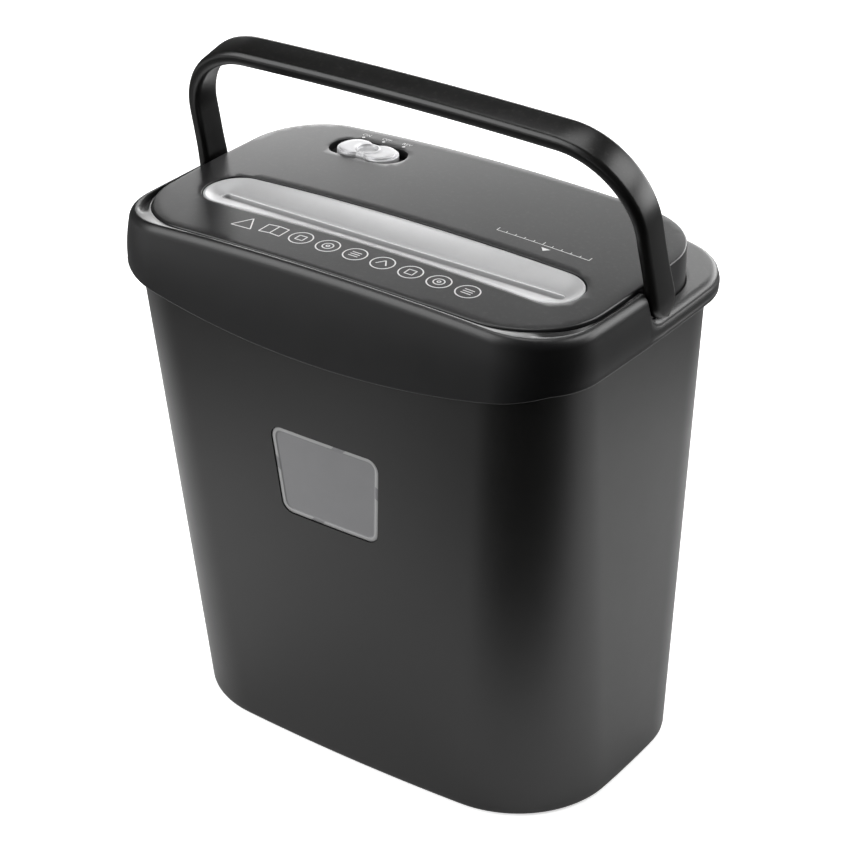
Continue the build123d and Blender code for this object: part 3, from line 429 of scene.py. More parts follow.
# Bin: tapered shell with a foot ring, a rolled base edge and an eased rim.
binForm = {
    # pairs are (at the base, at the rim)
    "halfX": (134.2, 144.4), "front": (-72.6, -96.1), "rear": (94.5, 95.2), "frontBow": (6.5, 5.0),
    "sideBow": (3.5, 2.5), "frontCorner": (61.6, 44.4), "rearCorner": (52.0, 49.2),
    "height": 290.0, "wall": 2.4, "recess": 2.0, "footRing": 9.0, "footEdge": (0.4, 0.6), "footLand": 1.0,
    "floor": 4.6, "floorRound": 6.0, "baseRound": 3.0, "rimRound": 0.9,
    # rows of the walls, with their distances from the base or floor and from the rim
    "rowStep": 9.0, "outerRows": (3.0, 2.0), "innerRows": (8.0, 4.0),
    # shares of the way from the middle to the edge of the underside and of the floor
    "underShares": (0.05, 0.4, 0.75, 0.97), "floorShares": (0.95, 0.7, 0.4, 0.05),
    "stops": {"front": 26, "corner": 22, "side": np.linspace(0, 1, 27)},
}


# A size of the bin at a height: base + (rim - base) * z / height.
def binSize(name, z):
    base, rim = binForm[name]
    return base + (rim - base) * z / binForm["height"]


# Outline of the bin at a height, moved inwards by the inset.
def binLoop(height, inset=0.0):
    at = lambda name: binSize(name, height)
    corners = (at("frontCorner") - inset, at("rearCorner") - inset)
    ends = (at("halfX") - inset, at("front") + inset, at("rear") - inset)
    half = halfOutline(*ends, (at("frontBow"), at("sideBow")), corners, binForm["stops"])
    return onHeight(fullLoop(half), height)


# Y of the front wall at (x, z): front + radius - sqrt(radius^2 - x^2), with the bow's radius.
def binFrontY(x, z, inset=0.0):
    bow = binSize("frontBow", z)
    radius = bowRadius(binSize("halfX", z) - inset - binSize("sideBow", z), bow)
    return binSize("front", z) + inset + radius - np.sqrt(radius**2 - x**2)


# Rings of the bin's outline: up the outside from the foot, over the rim and down the inside;
# the rings of both floors shrink to their middle.
def buildBin():
    wall, recess, foot = binForm["wall"], binForm["recess"], binForm["footRing"]
    top, floorZ, base = binForm["height"], binForm["floor"], binForm["baseRound"]
    centreY = (binForm["front"][0] + binForm["rear"][0]) / 2
    under, footRow = np.array([0, centreY, recess]), binLoop(recess, foot)
    edgeZ, edgeWidth = binForm["footEdge"]
    (fromBase, toRim), (toFloor, fromRim) = binForm["outerRows"], binForm["innerRows"]
    rows = [under + (footRow - under) * share for share in binForm["underShares"]]
    rows += [footRow, binLoop(edgeZ, foot), binLoop(0.0, foot - edgeWidth)]
    rows += [binLoop(0.0, base + binForm["footLand"])]
    rows += [binLoop(drop, inset) for inset, drop in quarterRound(base, 5)[::-1]]
    rows += [binLoop(z) for z in np.arange(base + fromBase, top - toRim, binForm["rowStep"])]
    rim = quarterRound(binForm["rimRound"], 3)
    rows += [binLoop(top - drop, inset) for inset, drop in rim]
    rows += [binLoop(top - drop, wall - inset) for inset, drop in rim[::-1]]
    rows += [binLoop(z, wall) for z in np.arange(top - fromRim, floorZ + toFloor, -binForm["rowStep"])]
    rows += [binLoop(floorZ + drop, wall + inset) for inset, drop in quarterRound(binForm["floorRound"], 5)]
    inner, middle = binLoop(floorZ, wall + binForm["floorRound"]), np.array([0, centreY, floorZ])
    rows += [middle + (inner - middle) * share for share in binForm["floorShares"]]
    return closedShell(np.array(rows))


# Window: frosted panel in a hole of the front wall.
window = {
    "low": 162.5, "height": 54.5, "halfLow": 31.9, "halfTop": 36.3, "corner": 7.0, "leastCorner": 0.5,
    "cornerPoints": 12, "points": 144, "gap": 0.25, "recess": 0.7, "thickness": 1.4, "chamfer": 0.2,
    "cutFrom": -60.0, "cutTo": -120.0, "backShares": (0.06, 0.5), "faceShares": (0.8, 0.55, 0.3, 0.06),
    # the raised edge: its width, and its (shift inwards, lift) steps
    "rim": 2.4, "rimSteps": ((0.5, 0.0), (0.1, 0.1), (-0.15, 0.35), (-1.0, 0.35)), "rimRows": (3, 5),
    "gates": (20, 47, 88, 120), "gateLength": 5,
}


# Running length of a path: the sum of the distances from point to point.
def runningLength(path):
    return np.r_[0, np.cumsum(np.linalg.norm(np.diff(path, axis=0), axis=1))]


# Points of a path at given running lengths.
def pointsAlong(path, length, at):
    return np.stack([np.interp(at, length, path[:, 0]), np.interp(at, length, path[:, 1])], axis=-1)


# Trapezium with rounded corners, as evenly spaced points in (x, z): four arcs whose centres
# lie one radius inside the level and the sloping sides.
def windowLoop(grow, count=window["points"]):
    slope = (window["halfTop"] - window["halfLow"]) / window["height"]
    low, top = window["low"] - grow, window["low"] + window["height"] + grow
    halfLow, halfTop = window["halfLow"] + grow - slope * grow, window["halfTop"] + grow + slope * grow
    radius = max(window["corner"] + grow, window["leastCorner"])
    lean = np.arctan(slope)
    lowC = np.array([halfLow + slope * radius - radius / np.cos(lean), low + radius])
    highC = np.array([halfTop - slope * radius - radius / np.cos(lean), top - radius])
    right = np.vstack([
        arcBetween(lowC, radius, -pi / 2, -lean, window["cornerPoints"]),
        arcBetween(highC, radius, -lean, pi / 2, window["cornerPoints"]),
    ])
    loop = np.vstack([right, right[::-1] * np.array([-1, 1])])
    closed = np.vstack([loop, loop[:1]])
    length = runningLength(closed)
    return pointsAlong(closed, length, np.linspace(0, length[-1], count, endpoint=False))


# A loop in (x, z) laid on the bin's front wall, some way into it.
def onFront(loop, inset):
    return np.stack([loop[:, 0], binFrontY(loop[:, 0], loop[:, 1], inset), loop[:, 1]], axis=-1)


# The bin's wall without a prism of the window's outline.
def cutWindowHole(mesh):
    loop = windowLoop(0.0)
    ends = (window["cutFrom"], window["cutTo"])
    rings = np.array([np.stack([loop[:, 0], np.full(len(loop), y), loop[:, 1]], axis=-1) for y in ends])
    cutter = bpy.data.objects.new("cutter", buildMesh("cutter", *closedShell(rings)))
    target = bpy.data.objects.new("target", mesh)
    for obj in (cutter, target):
        bpy.context.scene.collection.objects.link(obj)
    modifier = target.modifiers.new("hole", "BOOLEAN")
    modifier.operation, modifier.solver, modifier.object = "DIFFERENCE", "EXACT", cutter
    pierced = bpy.data.meshes.new_from_object(target.evaluated_get(bpy.context.evaluated_depsgraph_get()))
    for obj in (target, cutter):
        bpy.data.objects.remove(obj)
    return pierced


binMesh = cutWindowHole(buildMesh("binShell", *buildBin()))
addPiece("bin_shell", binMesh, "bin", "bin_plastic", material["binPlastic"], ["bin"])
print("bin shell:", len(binMesh.polygons), "faces")


# Rings of the window's outline from the flat back, round the edge, over the raised rim and
# in to the middle of the face.
def buildWindow():
    depth, back = window["recess"], binForm["wall"] + window["thickness"]
    edge, chamfer = -window["gap"], window["chamfer"]
    profile = [(edge, back), (edge, depth + chamfer), (edge - chamfer, depth)]
    profile += [(edge - window["rim"] + shift, depth + lift) for shift, lift in window["rimSteps"]]
    middle = np.array([0, window["low"] + window["height"] / 2])
    shrunk = lambda loop, share: middle + (loop - middle) * share
    rows = [onFront(shrunk(windowLoop(edge), share), back) for share in window["backShares"]]
    rows += [onFront(windowLoop(grow), inset) for grow, inset in profile]
    innerGrow, face = profile[-1]
    rows += [onFront(shrunk(windowLoop(innerGrow), share), face) for share in window["faceShares"]]
    return closedShell(np.array(rows))


windowMesh = buildMesh("windowPanel", *buildWindow())
windowPiece = ("window_panel", windowMesh, "bin", "window_plastic", material["frostedWindow"])
addPiece(*windowPiece, ["bin_window"], sharp=50)
# the raised edge is lighter and glossier than the panel, apart from four short gates
windowMesh.materials.append(material["windowRim"])
row, column = np.divmod(np.arange(len(windowMesh.polygons)), window["points"])
gate = np.isin(column, np.concatenate([np.arange(at, at + window["gateLength"]) for at in window["gates"]]))
lighterRim = (row >= window["rimRows"][0]) & (row <= window["rimRows"][1]) & ~gate
windowMesh.polygons.foreach_set("material_index", lighterRim.astype(np.int32))
print("window:", len(windowMesh.polygons), "faces")

# Collar: skirt, rolled rim and a leaning notch. The handle's sizes stand here too, because
# the notch follows them.
pivot = {"y": 4.0, "z": 306.0}
handleForm = {
    "lean": 14.0, "halfX": 150.2, "leg": 7.6, "bar": 8.6, "width": 20.5, "reach": 94.0,
    "arch": 3.6, "corner": 50.0, "edge": 3.4, "edgeShare": 0.8, "gap": 0.35, "splay": 3.4,
    # narrower between the foot and the bar, eased over these heights
    "narrowing": 1.4, "easeLow": 22.0, "easeTop": 50.0, "thin": 0.04,
    "tailPoints": 13, "legPoints": 14, "arcPoints": 25, "edgePoints": 6,
}
collar = {
    # pairs are (at the low edge, at the top)
    "low": 264.0, "top": 322.0, "halfX": (150.8, 145.6), "front": (-99.1, -97.6), "rear": (98.4, 97.2),
    "bow": (4.0, 2.5), "corners": (40.7, 45.3), "wall": 2.2, "inside": 292.5, "insideLip": 1.0,
    "sideZ": 284.0, "dip": 17.2, "dipHalf": 136.0, "lowRound": 0.9, "swell": 0.6, "sideRows": 12, "sideTop": 0.97,
    "rimRound": 3.5, "rimDepth": 6.0, "rimShare": 0.3, "rimDraw": 0.985, "rollStart": 1.0, "innerRound": 0.8,
    # land and groove between the rim and the deck; the fade is (start before the notch, length)
    "landDrop": 0.8, "landMost": 4.0, "landPower": 1.5, "fade": (6.0, 14.0),
    "landShares": (0.1, 0.22, 0.3, 0.36, 0.42, 0.5, 0.7, 0.86),
    "grooveDepth": 3.2, "grooveClimb": 0.75, "grooveSide": (0.6, 0.3), "dive": (0.2, 0.25), "climb": (0.45, 0.55),
}
notchRadius = handleForm["width"] / 2 + handleForm["gap"]
shoulderZ = pivot["z"] - notchRadius
lean = np.radians(handleForm["lean"])
notchFoot = np.array([pivot["y"] - notchRadius * np.cos(lean), pivot["z"] - notchRadius * np.sin(lean)])

# columns crowd together along the notch, between these shares of the side
crowdFrom, crowdTo = 0.36, 0.64
sideStops = np.r_[np.linspace(0, crowdFrom, 12), np.linspace(crowdFrom, crowdTo, 60), np.linspace(crowdTo, 1, 14)]
collar["stops"] = {"front": 40, "corner": 26, "side": np.unique(sideStops)}
cover = {
    "halfX": 140.2, "front": -89.2, "rear": 73.0, "bow": (3.0, 3.0), "corners": (47.5, 41.0),
    "edge": 1.1, "low": 292.5, "gap": 0.3, "wall": 2.4, "wallTop": 3.0, "lattice": 4.5, "latticeMargin": 0.35,
    "sideShares": (0.1, 0.5, 1.0),
    "stops": {"front": 60, "corner": 30, "side": np.linspace(0, 1, 50)},
}


# Outline of the collar at its low edge (0) or its top (1).
def collarLoop(end):
    sizes = (collar["halfX"][end], collar["front"][end], collar["rear"][end])
    return fullLoop(halfOutline(*sizes, collar["bow"], collar["corners"], collar["stops"]))


# One number for all points stays as it is; one for each point becomes a column.
def asColumn(value):
    return value[:, None] if np.ndim(value) else value


# Points of the collar's outer face: low + (top - low) * share of the height + inset * normal.
def collarPoints(inset, height):
    low, top = collarLoopPair
    share = ((height - collar["low"]) / (collar["top"] - collar["low"]))[:, None]
    return low + (top - low) * share + collarNormals * asColumn(inset)


# Upper edge along the side: the lowest of the rim and, going back, the leaning line of the
# notch, the arc round the handle's pivot, and the level shoulder.
def notchTop(y, rim):
    line = notchFoot[1] + (notchFoot[0] - y) / np.tan(lean)
    reach = np.clip(y - pivot["y"], -notchRadius, 0)
    arc = pivot["z"] - np.sqrt(np.maximum(notchRadius**2 - reach**2, 0))
    top = np.where(y < notchFoot[0], line, np.where(y < pivot["y"], arc, shoulderZ))
    return np.minimum(rim, top)


# Outline of the top cover, moved inwards by the inset.
def coverOutline(inset=0.0):
    corners = (cover["corners"][0] - inset, cover["corners"][1] - inset)
    ends = (cover["halfX"] - inset, cover["front"] + inset, cover["rear"] - inset)
    return fullLoop(halfOutline(*ends, cover["bow"], corners, cover["stops"]))


# Inner edge of the land: the top cover's outline, met square from the sides, the front
# and the rear, and along a ray to the corner's centre between them.
def landInner(outer):
    outline = coverOutline(-cover["gap"])
    right = outline[outline[:, 0] >= 0]
    overlap = 3.0  # of the straight parts and the corner, in mm
    x, y = np.abs(outer[:, 0]), outer[:, 1]
    byY = right[np.argsort(right[:, 1])]
    newX, newY = np.interp(y, byY[:, 1], byY[:, 0]), y.copy()
    for name, corner, sign in (("front", cover["corners"][0], -1), ("rear", cover["corners"][1], 1)):
        centreY = cover[name] - sign * (cover["bow"][0] + corner)
        centre = np.array([cover["halfX"] - cover["bow"][1] - corner, centreY])
        past = (y - centre[1]) * sign > 0
        flat = right[(right[:, 1] - centre[1]) * sign > 0]
        flat = flat[np.argsort(flat[:, 0])]
        bend = flat[flat[:, 0] > centre[0] - overlap] - centre
        turn = np.arctan2(bend[:, 1] * sign, bend[:, 0])
        order = np.argsort(turn)
        angle = np.arctan2((y - centre[1]) * sign, x - centre[0])
        radius = np.interp(angle, turn[order], np.linalg.norm(bend, axis=1)[order])
        level = flat[flat[:, 0] <= centre[0] + overlap]
        straight, bent = past & (x <= centre[0]), past & (x > centre[0])
        newX = np.where(straight, x, newX)
        newY = np.where(straight, np.interp(x, level[:, 0], level[:, 1]), newY)
        newX = np.where(bent, centre[0] + radius * np.cos(angle), newX)
        newY = np.where(bent, centre[1] + sign * radius * np.sin(angle), newY)
    return np.stack([newX * np.sign(outer[:, 0] + 1e-9), newY], axis=-1)


# Rings from the skirt's low edge up the outside, over the rim, across the land and down the
# inside. The low edge dips in front by a circle's arc; height along each column runs from
# low to top, and the land runs along a straight line from the outer to the inner edge. The
# side swells by 4 * swell * share * (1 - share); the land falls by sink * share^power, or at
# the sides by groove * (dive - climb).
def buildCollar():
    mean = (collarLoopPair[0] + collarLoopPair[1]) / 2
    x, y = mean[:, 0], mean[:, 1]
    dipRadius = bowRadius(collar["dipHalf"], collar["dip"])
    dip = collar["sideZ"] - collar["dip"] + dipRadius - np.sqrt(np.maximum(dipRadius**2 - x**2, 1))
    low = np.where((y < 0) & (np.abs(x) < collar["dipHalf"]), dip, collar["sideZ"])
    rim = domeHeight(x * collar["rimDraw"], y, 0.0, dome["radius"])
    top = notchTop(y, rim)
    topOuter = collarPoints(0.0, top)
    inner = landInner(topOuter)
    reach = np.linalg.norm(inner - topOuter, axis=1)
    toward = (inner - topOuter) / reach[:, None]
    outward = lambda inset, height: np.column_stack([collarPoints(inset, height), height])
    across = lambda inset, height: np.column_stack([topOuter + toward * asColumn(inset), height])
    wall, edge, rimRound, innerRound = (collar[name] for name in ("wall", "lowRound", "rimRound", "innerRound"))
    rows = [outward(wall - edge, low), outward(edge, low)]
    rows += [outward(inset, low + drop) for inset, drop in quarterRound(edge, 4)[::-1][1:]]
    # the rim rolls over an ellipse, less deep where the collar is low
    rollDepth = np.minimum(collar["rimDepth"], (top - low) * collar["rimShare"])
    body = top - low - edge - collar["rollStart"] - rollDepth
    for share in np.linspace(0, collar["sideTop"], collar["sideRows"]):
        swell = -4 * collar["swell"] * share * (1 - share)
        rows.append(outward(swell, low + edge + collar["rollStart"] + body * share))
    rows += [outward(inset * rimRound, top - drop * rollDepth) for inset, drop in quarterRound(1.0, 9)]
    # in front of the handle the land falls to the deck's edge
    inFront = np.clip((notchFoot[0] - collar["fade"][0] - y) / collar["fade"][1], 0, 1) * (top > rim - 1e-6)
    sink = np.clip(top - domeHeight(inner[:, 0], inner[:, 1]) + collar["landDrop"], 0, collar["landMost"]) * inFront
    # at the sides a groove runs between the rim's lip and the deck
    sideways = np.clip((np.abs(collarNormals[:, 0]) - collar["grooveSide"][0]) / collar["grooveSide"][1], 0, 1)
    depth = collar["grooveDepth"] * inFront * sideways
    for share in collar["landShares"]:
        dive = np.clip((share - collar["dive"][0]) / collar["dive"][1], 0, 1)
        climb = collar["grooveClimb"] * np.clip((share - collar["climb"][0]) / collar["climb"][1], 0, 1)
        fall = sink * share ** collar["landPower"] * (1 - sideways) + depth * (dive * dive * (3 - 2 * dive) - climb)
        rows.append(across(rimRound + (reach - rimRound - innerRound) * share, top - fall))
    sink = sink * (1 - sideways) + depth * (1 - collar["grooveClimb"])
    rows += [across(reach - inset, top - sink - drop) for inset, drop in quarterRound(innerRound, 3)[::-1]]
    inside = np.full(len(top), collar["inside"])
    rows += [across(reach, (top - sink + inside) / 2), across(reach, inside)]
    rows += [outward(wall + collar["insideLip"], inside), outward(wall, inside)]
    rows += [outward(wall, (low + inside) / 2), outward(wall, low + edge)]
    rows = np.array(rows)
    return rows.reshape(-1, 3), [ringQuads(rows.shape[0], rows.shape[1], wrapRows=True)]


collarLoopPair = [collarLoop(0), collarLoop(1)]
collarNormals = inwardNormals((collarLoopPair[0] + collarLoopPair[1]) / 2)
collarMesh = buildMesh("collarShell", *buildCollar())
addPiece("collar_shell", collarMesh, "head", "collar_plastic", material["collarPlastic"], ["collar"])
print("collar:", len(collarMesh.polygons), "faces")

# Top cover: domed deck with a well for the feed plate and a recess for the switch.
feedPlate = {
    "x": 1.8, "y": -33.8, "halfLength": 120.0, "halfWidth": 17.8, "gap": 0.65, "lip": 0.25, "bottom": 303.0,
    "recess": 0.5, "border": 1.3, "edge": 0.35, "borderLand": 0.3, "round": 14, "along": 60,
    "slotHalf": 110.0, "slotWidth": 2.6, "slotZ": 311.0, "slotDrop": 1.0, "foot": 0.5, "fall": 1.6,
    # shares of the way from the border to the slot: the trough's rows, then the bead's (share, lift)
    "trough": (0.0, 0.04, 0.12, 0.25, 0.4, 0.55, 0.7, 0.82, 0.9),
    "bead": ((0.93, 0.35), (0.95, 0.55), (0.975, 0.6), (0.993, 0.4), (1.0, 0.1)),
}
switchRecess = {
    "x": -69.5, "y": 45.6, "halfLength": 25.0, "halfWidth": 11.0, "gap": 0.0, "lip": 0.2, "bottom": 314.6,
    "wall": 1.8, "round": 12, "along": 24, "floorShares": (0.9, 0.5, 0.08), "blackMargin": 0.15, "blackDepth": 0.3,
}
wellWall, wellSink = 2.0, 2.6  # wall round the feed plate's well, and its top's depth under the deck


# Straight sides joined by half circles, anticlockwise, round a centre.
def stadium(centre, halfLength, halfWidth, around, along):
    straight = halfLength - halfWidth
    right = arcBetween(np.array([straight, 0.0]), halfWidth, -pi / 2, pi / 2, 2 * around + 1)
    span = np.linspace(straight, -straight, along + 2)[1:-1]
    top = np.column_stack([span, np.full(along, halfWidth)])
    half = np.vstack([right, top])
    return np.vstack([half, -half]) + np.array(centre)


# Edge of an opening in the deck, grown outwards.
def openingLoop(opening, grow):
    halfLength, halfWidth = opening["halfLength"] + opening["gap"], opening["halfWidth"] + opening["gap"]
    centre = (opening["x"], opening["y"])
    return stadium(centre, halfLength + grow, halfWidth + grow, opening["round"], opening["along"])


# Flat sheet between an outer loop and some holes: a square lattice of points that keeps off
# the loops by a share of its step, joined by triangles that follow the loops' edges.
def latticeSheet(outer, holes, step):
    points, edges = [], []
    for loop in (outer, *holes):
        ids = sum(len(block) for block in points) + np.arange(len(loop))
        points.append(loop)
        edges.append(np.stack([ids, np.roll(ids, -1)], axis=-1))
    low, high = outer.min(axis=0), outer.max(axis=0)
    gridX, gridY = np.meshgrid(*(np.arange(low[k] + step / 2, high[k], step) for k in (0, 1)))
    lattice = np.stack([gridX.ravel(), gridY.ravel()], axis=-1)
    margin = step * cover["latticeMargin"]
    keep = insideLoop(lattice, outer, -margin)
    for hole in holes:
        keep &= ~insideLoop(lattice, hole, margin)
    points.append(lattice[keep])
    places, edges = [Vector(place) for place in np.vstack(points).tolist()], np.vstack(edges).tolist()
    wholeHull, tolerance = 0, 1e-5
    found = delaunay_2d_cdt(places, edges, [], wholeHull, tolerance)
    vertices, triangles = np.array([tuple(v) for v in found[0]]), np.array(found[2])
    middle = vertices[triangles].mean(axis=1)
    good = insideLoop(middle, outer, 0.0)
    for hole in holes:
        good &= ~insideLoop(middle, hole, 0.0)
    return vertices, triangles[good]


# Which points lie in a loop: a ray from each crosses it an odd number of times. A margin
# grows the loop from its middle.
def insideLoop(points, loop, margin):
    centre = (loop.min(axis=0) + loop.max(axis=0)) / 2
    half = (loop.max(axis=0) - loop.min(axis=0)) / 2
    grown = centre + (loop - centre) * (1 + margin / half)
    a, b = grown, np.roll(grown, -1, axis=0)
    y = points[:, 1][:, None]
    crosses = (a[:, 1] > y) != (b[:, 1] > y)
    with np.errstate(divide="ignore", invalid="ignore"):
        at = a[:, 0] + (y - a[:, 1]) * (b[:, 0] - a[:, 0]) / (b[:, 1] - a[:, 1])
    return (crosses & (points[:, 0][:, None] < at)).sum(axis=1) % 2 == 1


# A flat loop laid on the deck, some way below its surface.
def onDome(loop, drop=0.0):
    return np.column_stack([loop, domeHeight(loop[:, 0], loop[:, 1]) - drop])


# Hangs rows of points below an existing loop of vertices; flip turns the faces over.
def stackRows(points, faces, rows, startIds, flip=False):
    count = len(startIds)
    ids = [startIds]
    for row in rows:
        ids.append(len(points) + np.arange(count))
        points = np.vstack([points, row])
    for upper, lower in zip(ids[:-1], ids[1:]):
        quad = np.stack([lower, np.roll(lower, -1), np.roll(upper, -1), upper], axis=-1)
        faces.append(quad[:, ::-1] if flip else quad)
    return points, faces, ids[-1]


# For each point of a loop, the index of the sheet's nearest vertex.
def matchLoop(vertices, loop):
    gap = np.linalg.norm(vertices[None, :, :] - loop[:, None, :], axis=2)
    return gap.argmin(axis=1)


# Fan of triangles from a loop of vertices to one new point.
def closeFan(points, faces, ids, tip, flip=False):
    ends = (np.roll(ids, -1), ids) if flip else (ids, np.roll(ids, -1))
    faces.append(np.stack([*ends, np.full(len(ids), len(points))], axis=-1))
    return np.vstack([points, [tip]]), faces


# The deck is a sheet on the dome with two openings; its edge rolls over and hangs down as a
# wall, a second sheet closes it from below, and each opening gets a lip and walls.
def buildCover():
    wall = cover["wall"]
    outer = coverOutline(cover["edge"])
    well, tub = (openingLoop(opening, opening["lip"]) for opening in (feedPlate, switchRecess))
    flat, triangles = latticeSheet(outer, [well, tub], cover["lattice"])
    points, faces = onDome(flat), [triangles]
    outerIds, wellIds, tubIds = (matchLoop(flat, loop) for loop in (outer, well, tub))
    rows = [onDome(coverOutline(inset), drop) for inset, drop in quarterRound(cover["edge"], 5)[:-1][::-1]]
    side, inner = coverOutline(0.0), coverOutline(wall)
    top = onDome(side, cover["edge"])[:, 2]
    rows += [onHeight(side, top + (cover["low"] - top) * share) for share in cover["sideShares"]]
    rows += [onHeight(inner, cover["low"]), onDome(inner, cover["wallTop"])]
    points, faces, last = stackRows(points, faces, rows, outerIds)
    base = len(points)  # the underside of the deck starts here
    points = np.vstack([points, onDome(flat, wall)])
    faces.append(triangles[:, ::-1] + base)
    faces.append(np.stack([base + outerIds, base + np.roll(outerIds, -1), np.roll(last, -1), last], axis=-1))

    def lipAndWall(opening):
        lip = quarterRound(opening["lip"], 3)[:-1][::-1]
        rows = [onDome(openingLoop(opening, inset), drop) for inset, drop in lip]
        return rows + [onHeight(openingLoop(opening, 0.0), opening["bottom"])]

    # the feed plate's well is open below: its outer wall joins the underside
    skirt = openingLoop(feedPlate, wellWall)
    rows = lipAndWall(feedPlate) + [onHeight(skirt, feedPlate["bottom"]), onDome(skirt, wellSink)]
    points, faces, last = stackRows(points, faces, rows, wellIds, flip=True)
    faces.append(np.stack([last, np.roll(last, -1), base + np.roll(wellIds, -1), base + wellIds], axis=-1))
    # the switch recess has a floor, and a tub of its own below it
    centre, floorZ = np.array([switchRecess["x"], switchRecess["y"]]), switchRecess["bottom"]
    floorEdge, skirt = openingLoop(switchRecess, 0.0), openingLoop(switchRecess, switchRecess["wall"])
    rows = lipAndWall(switchRecess)
    rows += [onHeight(centre + (floorEdge - centre) * share, floorZ) for share in switchRecess["floorShares"]]
    points, faces, last = stackRows(points, faces, rows, tubIds, flip=True)
    points, faces = closeFan(points, faces, last, (*centre, floorZ))
    rows = [onDome(skirt, wall), onHeight(skirt, floorZ - switchRecess["wall"])]
    points, faces, last = stackRows(points, faces, rows, base + tubIds)
    return closeFan(points, faces, last, (*centre, floorZ - switchRecess["wall"]), flip=True)


coverMesh = buildMesh("coverShell", *buildCover())
coverPiece = ("cover_shell", coverMesh, "head", "deck_plastic", material["deckPlastic"])
addPiece(*coverPiece, ["top_cover"], sharp=40)
# the recess's walls and floor are darker than the deck
coverMesh.materials.append(material["recessPlastic"])
centres = np.array([polygon.center for polygon in coverMesh.polygons]) / mm
straight = switchRecess["halfLength"] - switchRecess["halfWidth"]
past = np.maximum(np.abs(centres[:, 0] - switchRecess["x"]) - straight, 0)
away = np.hypot(past, centres[:, 1] - switchRecess["y"])
below = domeHeight(centres[:, 0], centres[:, 1]) - centres[:, 2]
isRecess = (away < switchRecess["halfWidth"] + switchRecess["blackMargin"]) & (below > switchRecess["blackDepth"])
coverMesh.polygons.foreach_set("material_index", isRecess.astype(np.int32))
print("top cover:", len(coverMesh.polygons), "faces")


# Feed plate: long silver trough that narrows to the paper slot.
# Closed ring of rows: up the outer edge, over the border, down the trough, over the bead and
# through the slot. A trough row lies at lip + (foot - lip) * (1 - (1 - share)^fall), steep by
# the border and nearly flat by the slot.
def buildFeedPlate():
    centre, points = (feedPlate["x"], feedPlate["y"]), (feedPlate["round"], feedPlate["along"])
    length, width, border = feedPlate["halfLength"], feedPlate["halfWidth"], feedPlate["border"]
    slotHalf, slotWidth, slotZ = feedPlate["slotHalf"], feedPlate["slotWidth"], feedPlate["slotZ"]
    bottom, recess = feedPlate["bottom"], feedPlate["recess"]
    loop = lambda inset: stadium(centre, length - inset, width - inset, *points)

    def between(share):
        halfLength = (length - border) + (slotHalf - length + border) * share
        return stadium(centre, halfLength, (width - border) + (slotWidth - width + border) * share, *points)

    rows = [onHeight(loop(0), bottom)]
    rows += [onDome(loop(inset), recess + drop) for inset, drop in quarterRound(feedPlate["edge"], 3)]
    rows += [onDome(loop(border - feedPlate["borderLand"]), recess)]
    lip = onDome(between(0), recess)[:, 2]
    for share in feedPlate["trough"]:
        sink = 1 - (1 - share) ** feedPlate["fall"]
        rows.append(onHeight(between(share), lip + (slotZ + feedPlate["foot"] - lip) * sink))
    rows += [onHeight(between(share), slotZ + lift) for share, lift in feedPlate["bead"]]
    slot = stadium(centre, slotHalf, slotWidth, *points)
    rows += [onHeight(slot, slotZ - feedPlate["slotDrop"]), onHeight(slot, bottom)]
    rows = np.array(rows)
    return rows.reshape(-1, 3), [ringQuads(rows.shape[0], rows.shape[1], wrapRows=True)]


plateMesh = buildMesh("feedTrough", *buildFeedPlate())
addPiece("feed_trough", plateMesh, "head", "feed_silver", material["silverPaint"], ["feed_plate"], sharp=50)
print("feed plate:", len(plateMesh.polygons), "faces")

# Mode knob: two overlapping discs with a stepped edge and a finger dish.
knob = {
    "lobe": 10.2, "offset": 9.0, "waist": 8.15, "bottom": 314.9, "top": 321.3, "step": 1.0, "stepWidth": 1.7,
    "stepWaist": 0.5, "round": 0.5, "footEase": 0.2, "shelfEase": (0.1, 0.05), "lean": 0.2,
    "ring": 6.1, "ringWidth": 0.75, "ringLift": 0.35, "dish": 1.3, "around": 160,
    # shares of the edge on the underside, and of the way from the step to the ring
    "underShares": (0.1, 0.6, 0.98), "topShares": (0.3, 0.7, 0.97),
    # (distance from the ring's outer or inner edge, share of the lift), then (distance, share of the dish)
    "ringOut": ((-0.1, 0.6), (-0.25, 1.0)), "ringIn": ((0.1, 1.0), (0.0, 0.6)),
    "dishRows": ((-0.2, 0.5), (-0.7, 0.9), (-1.6, 1.0), (-3.6, 1.0), (-5.7, 1.0)),
}


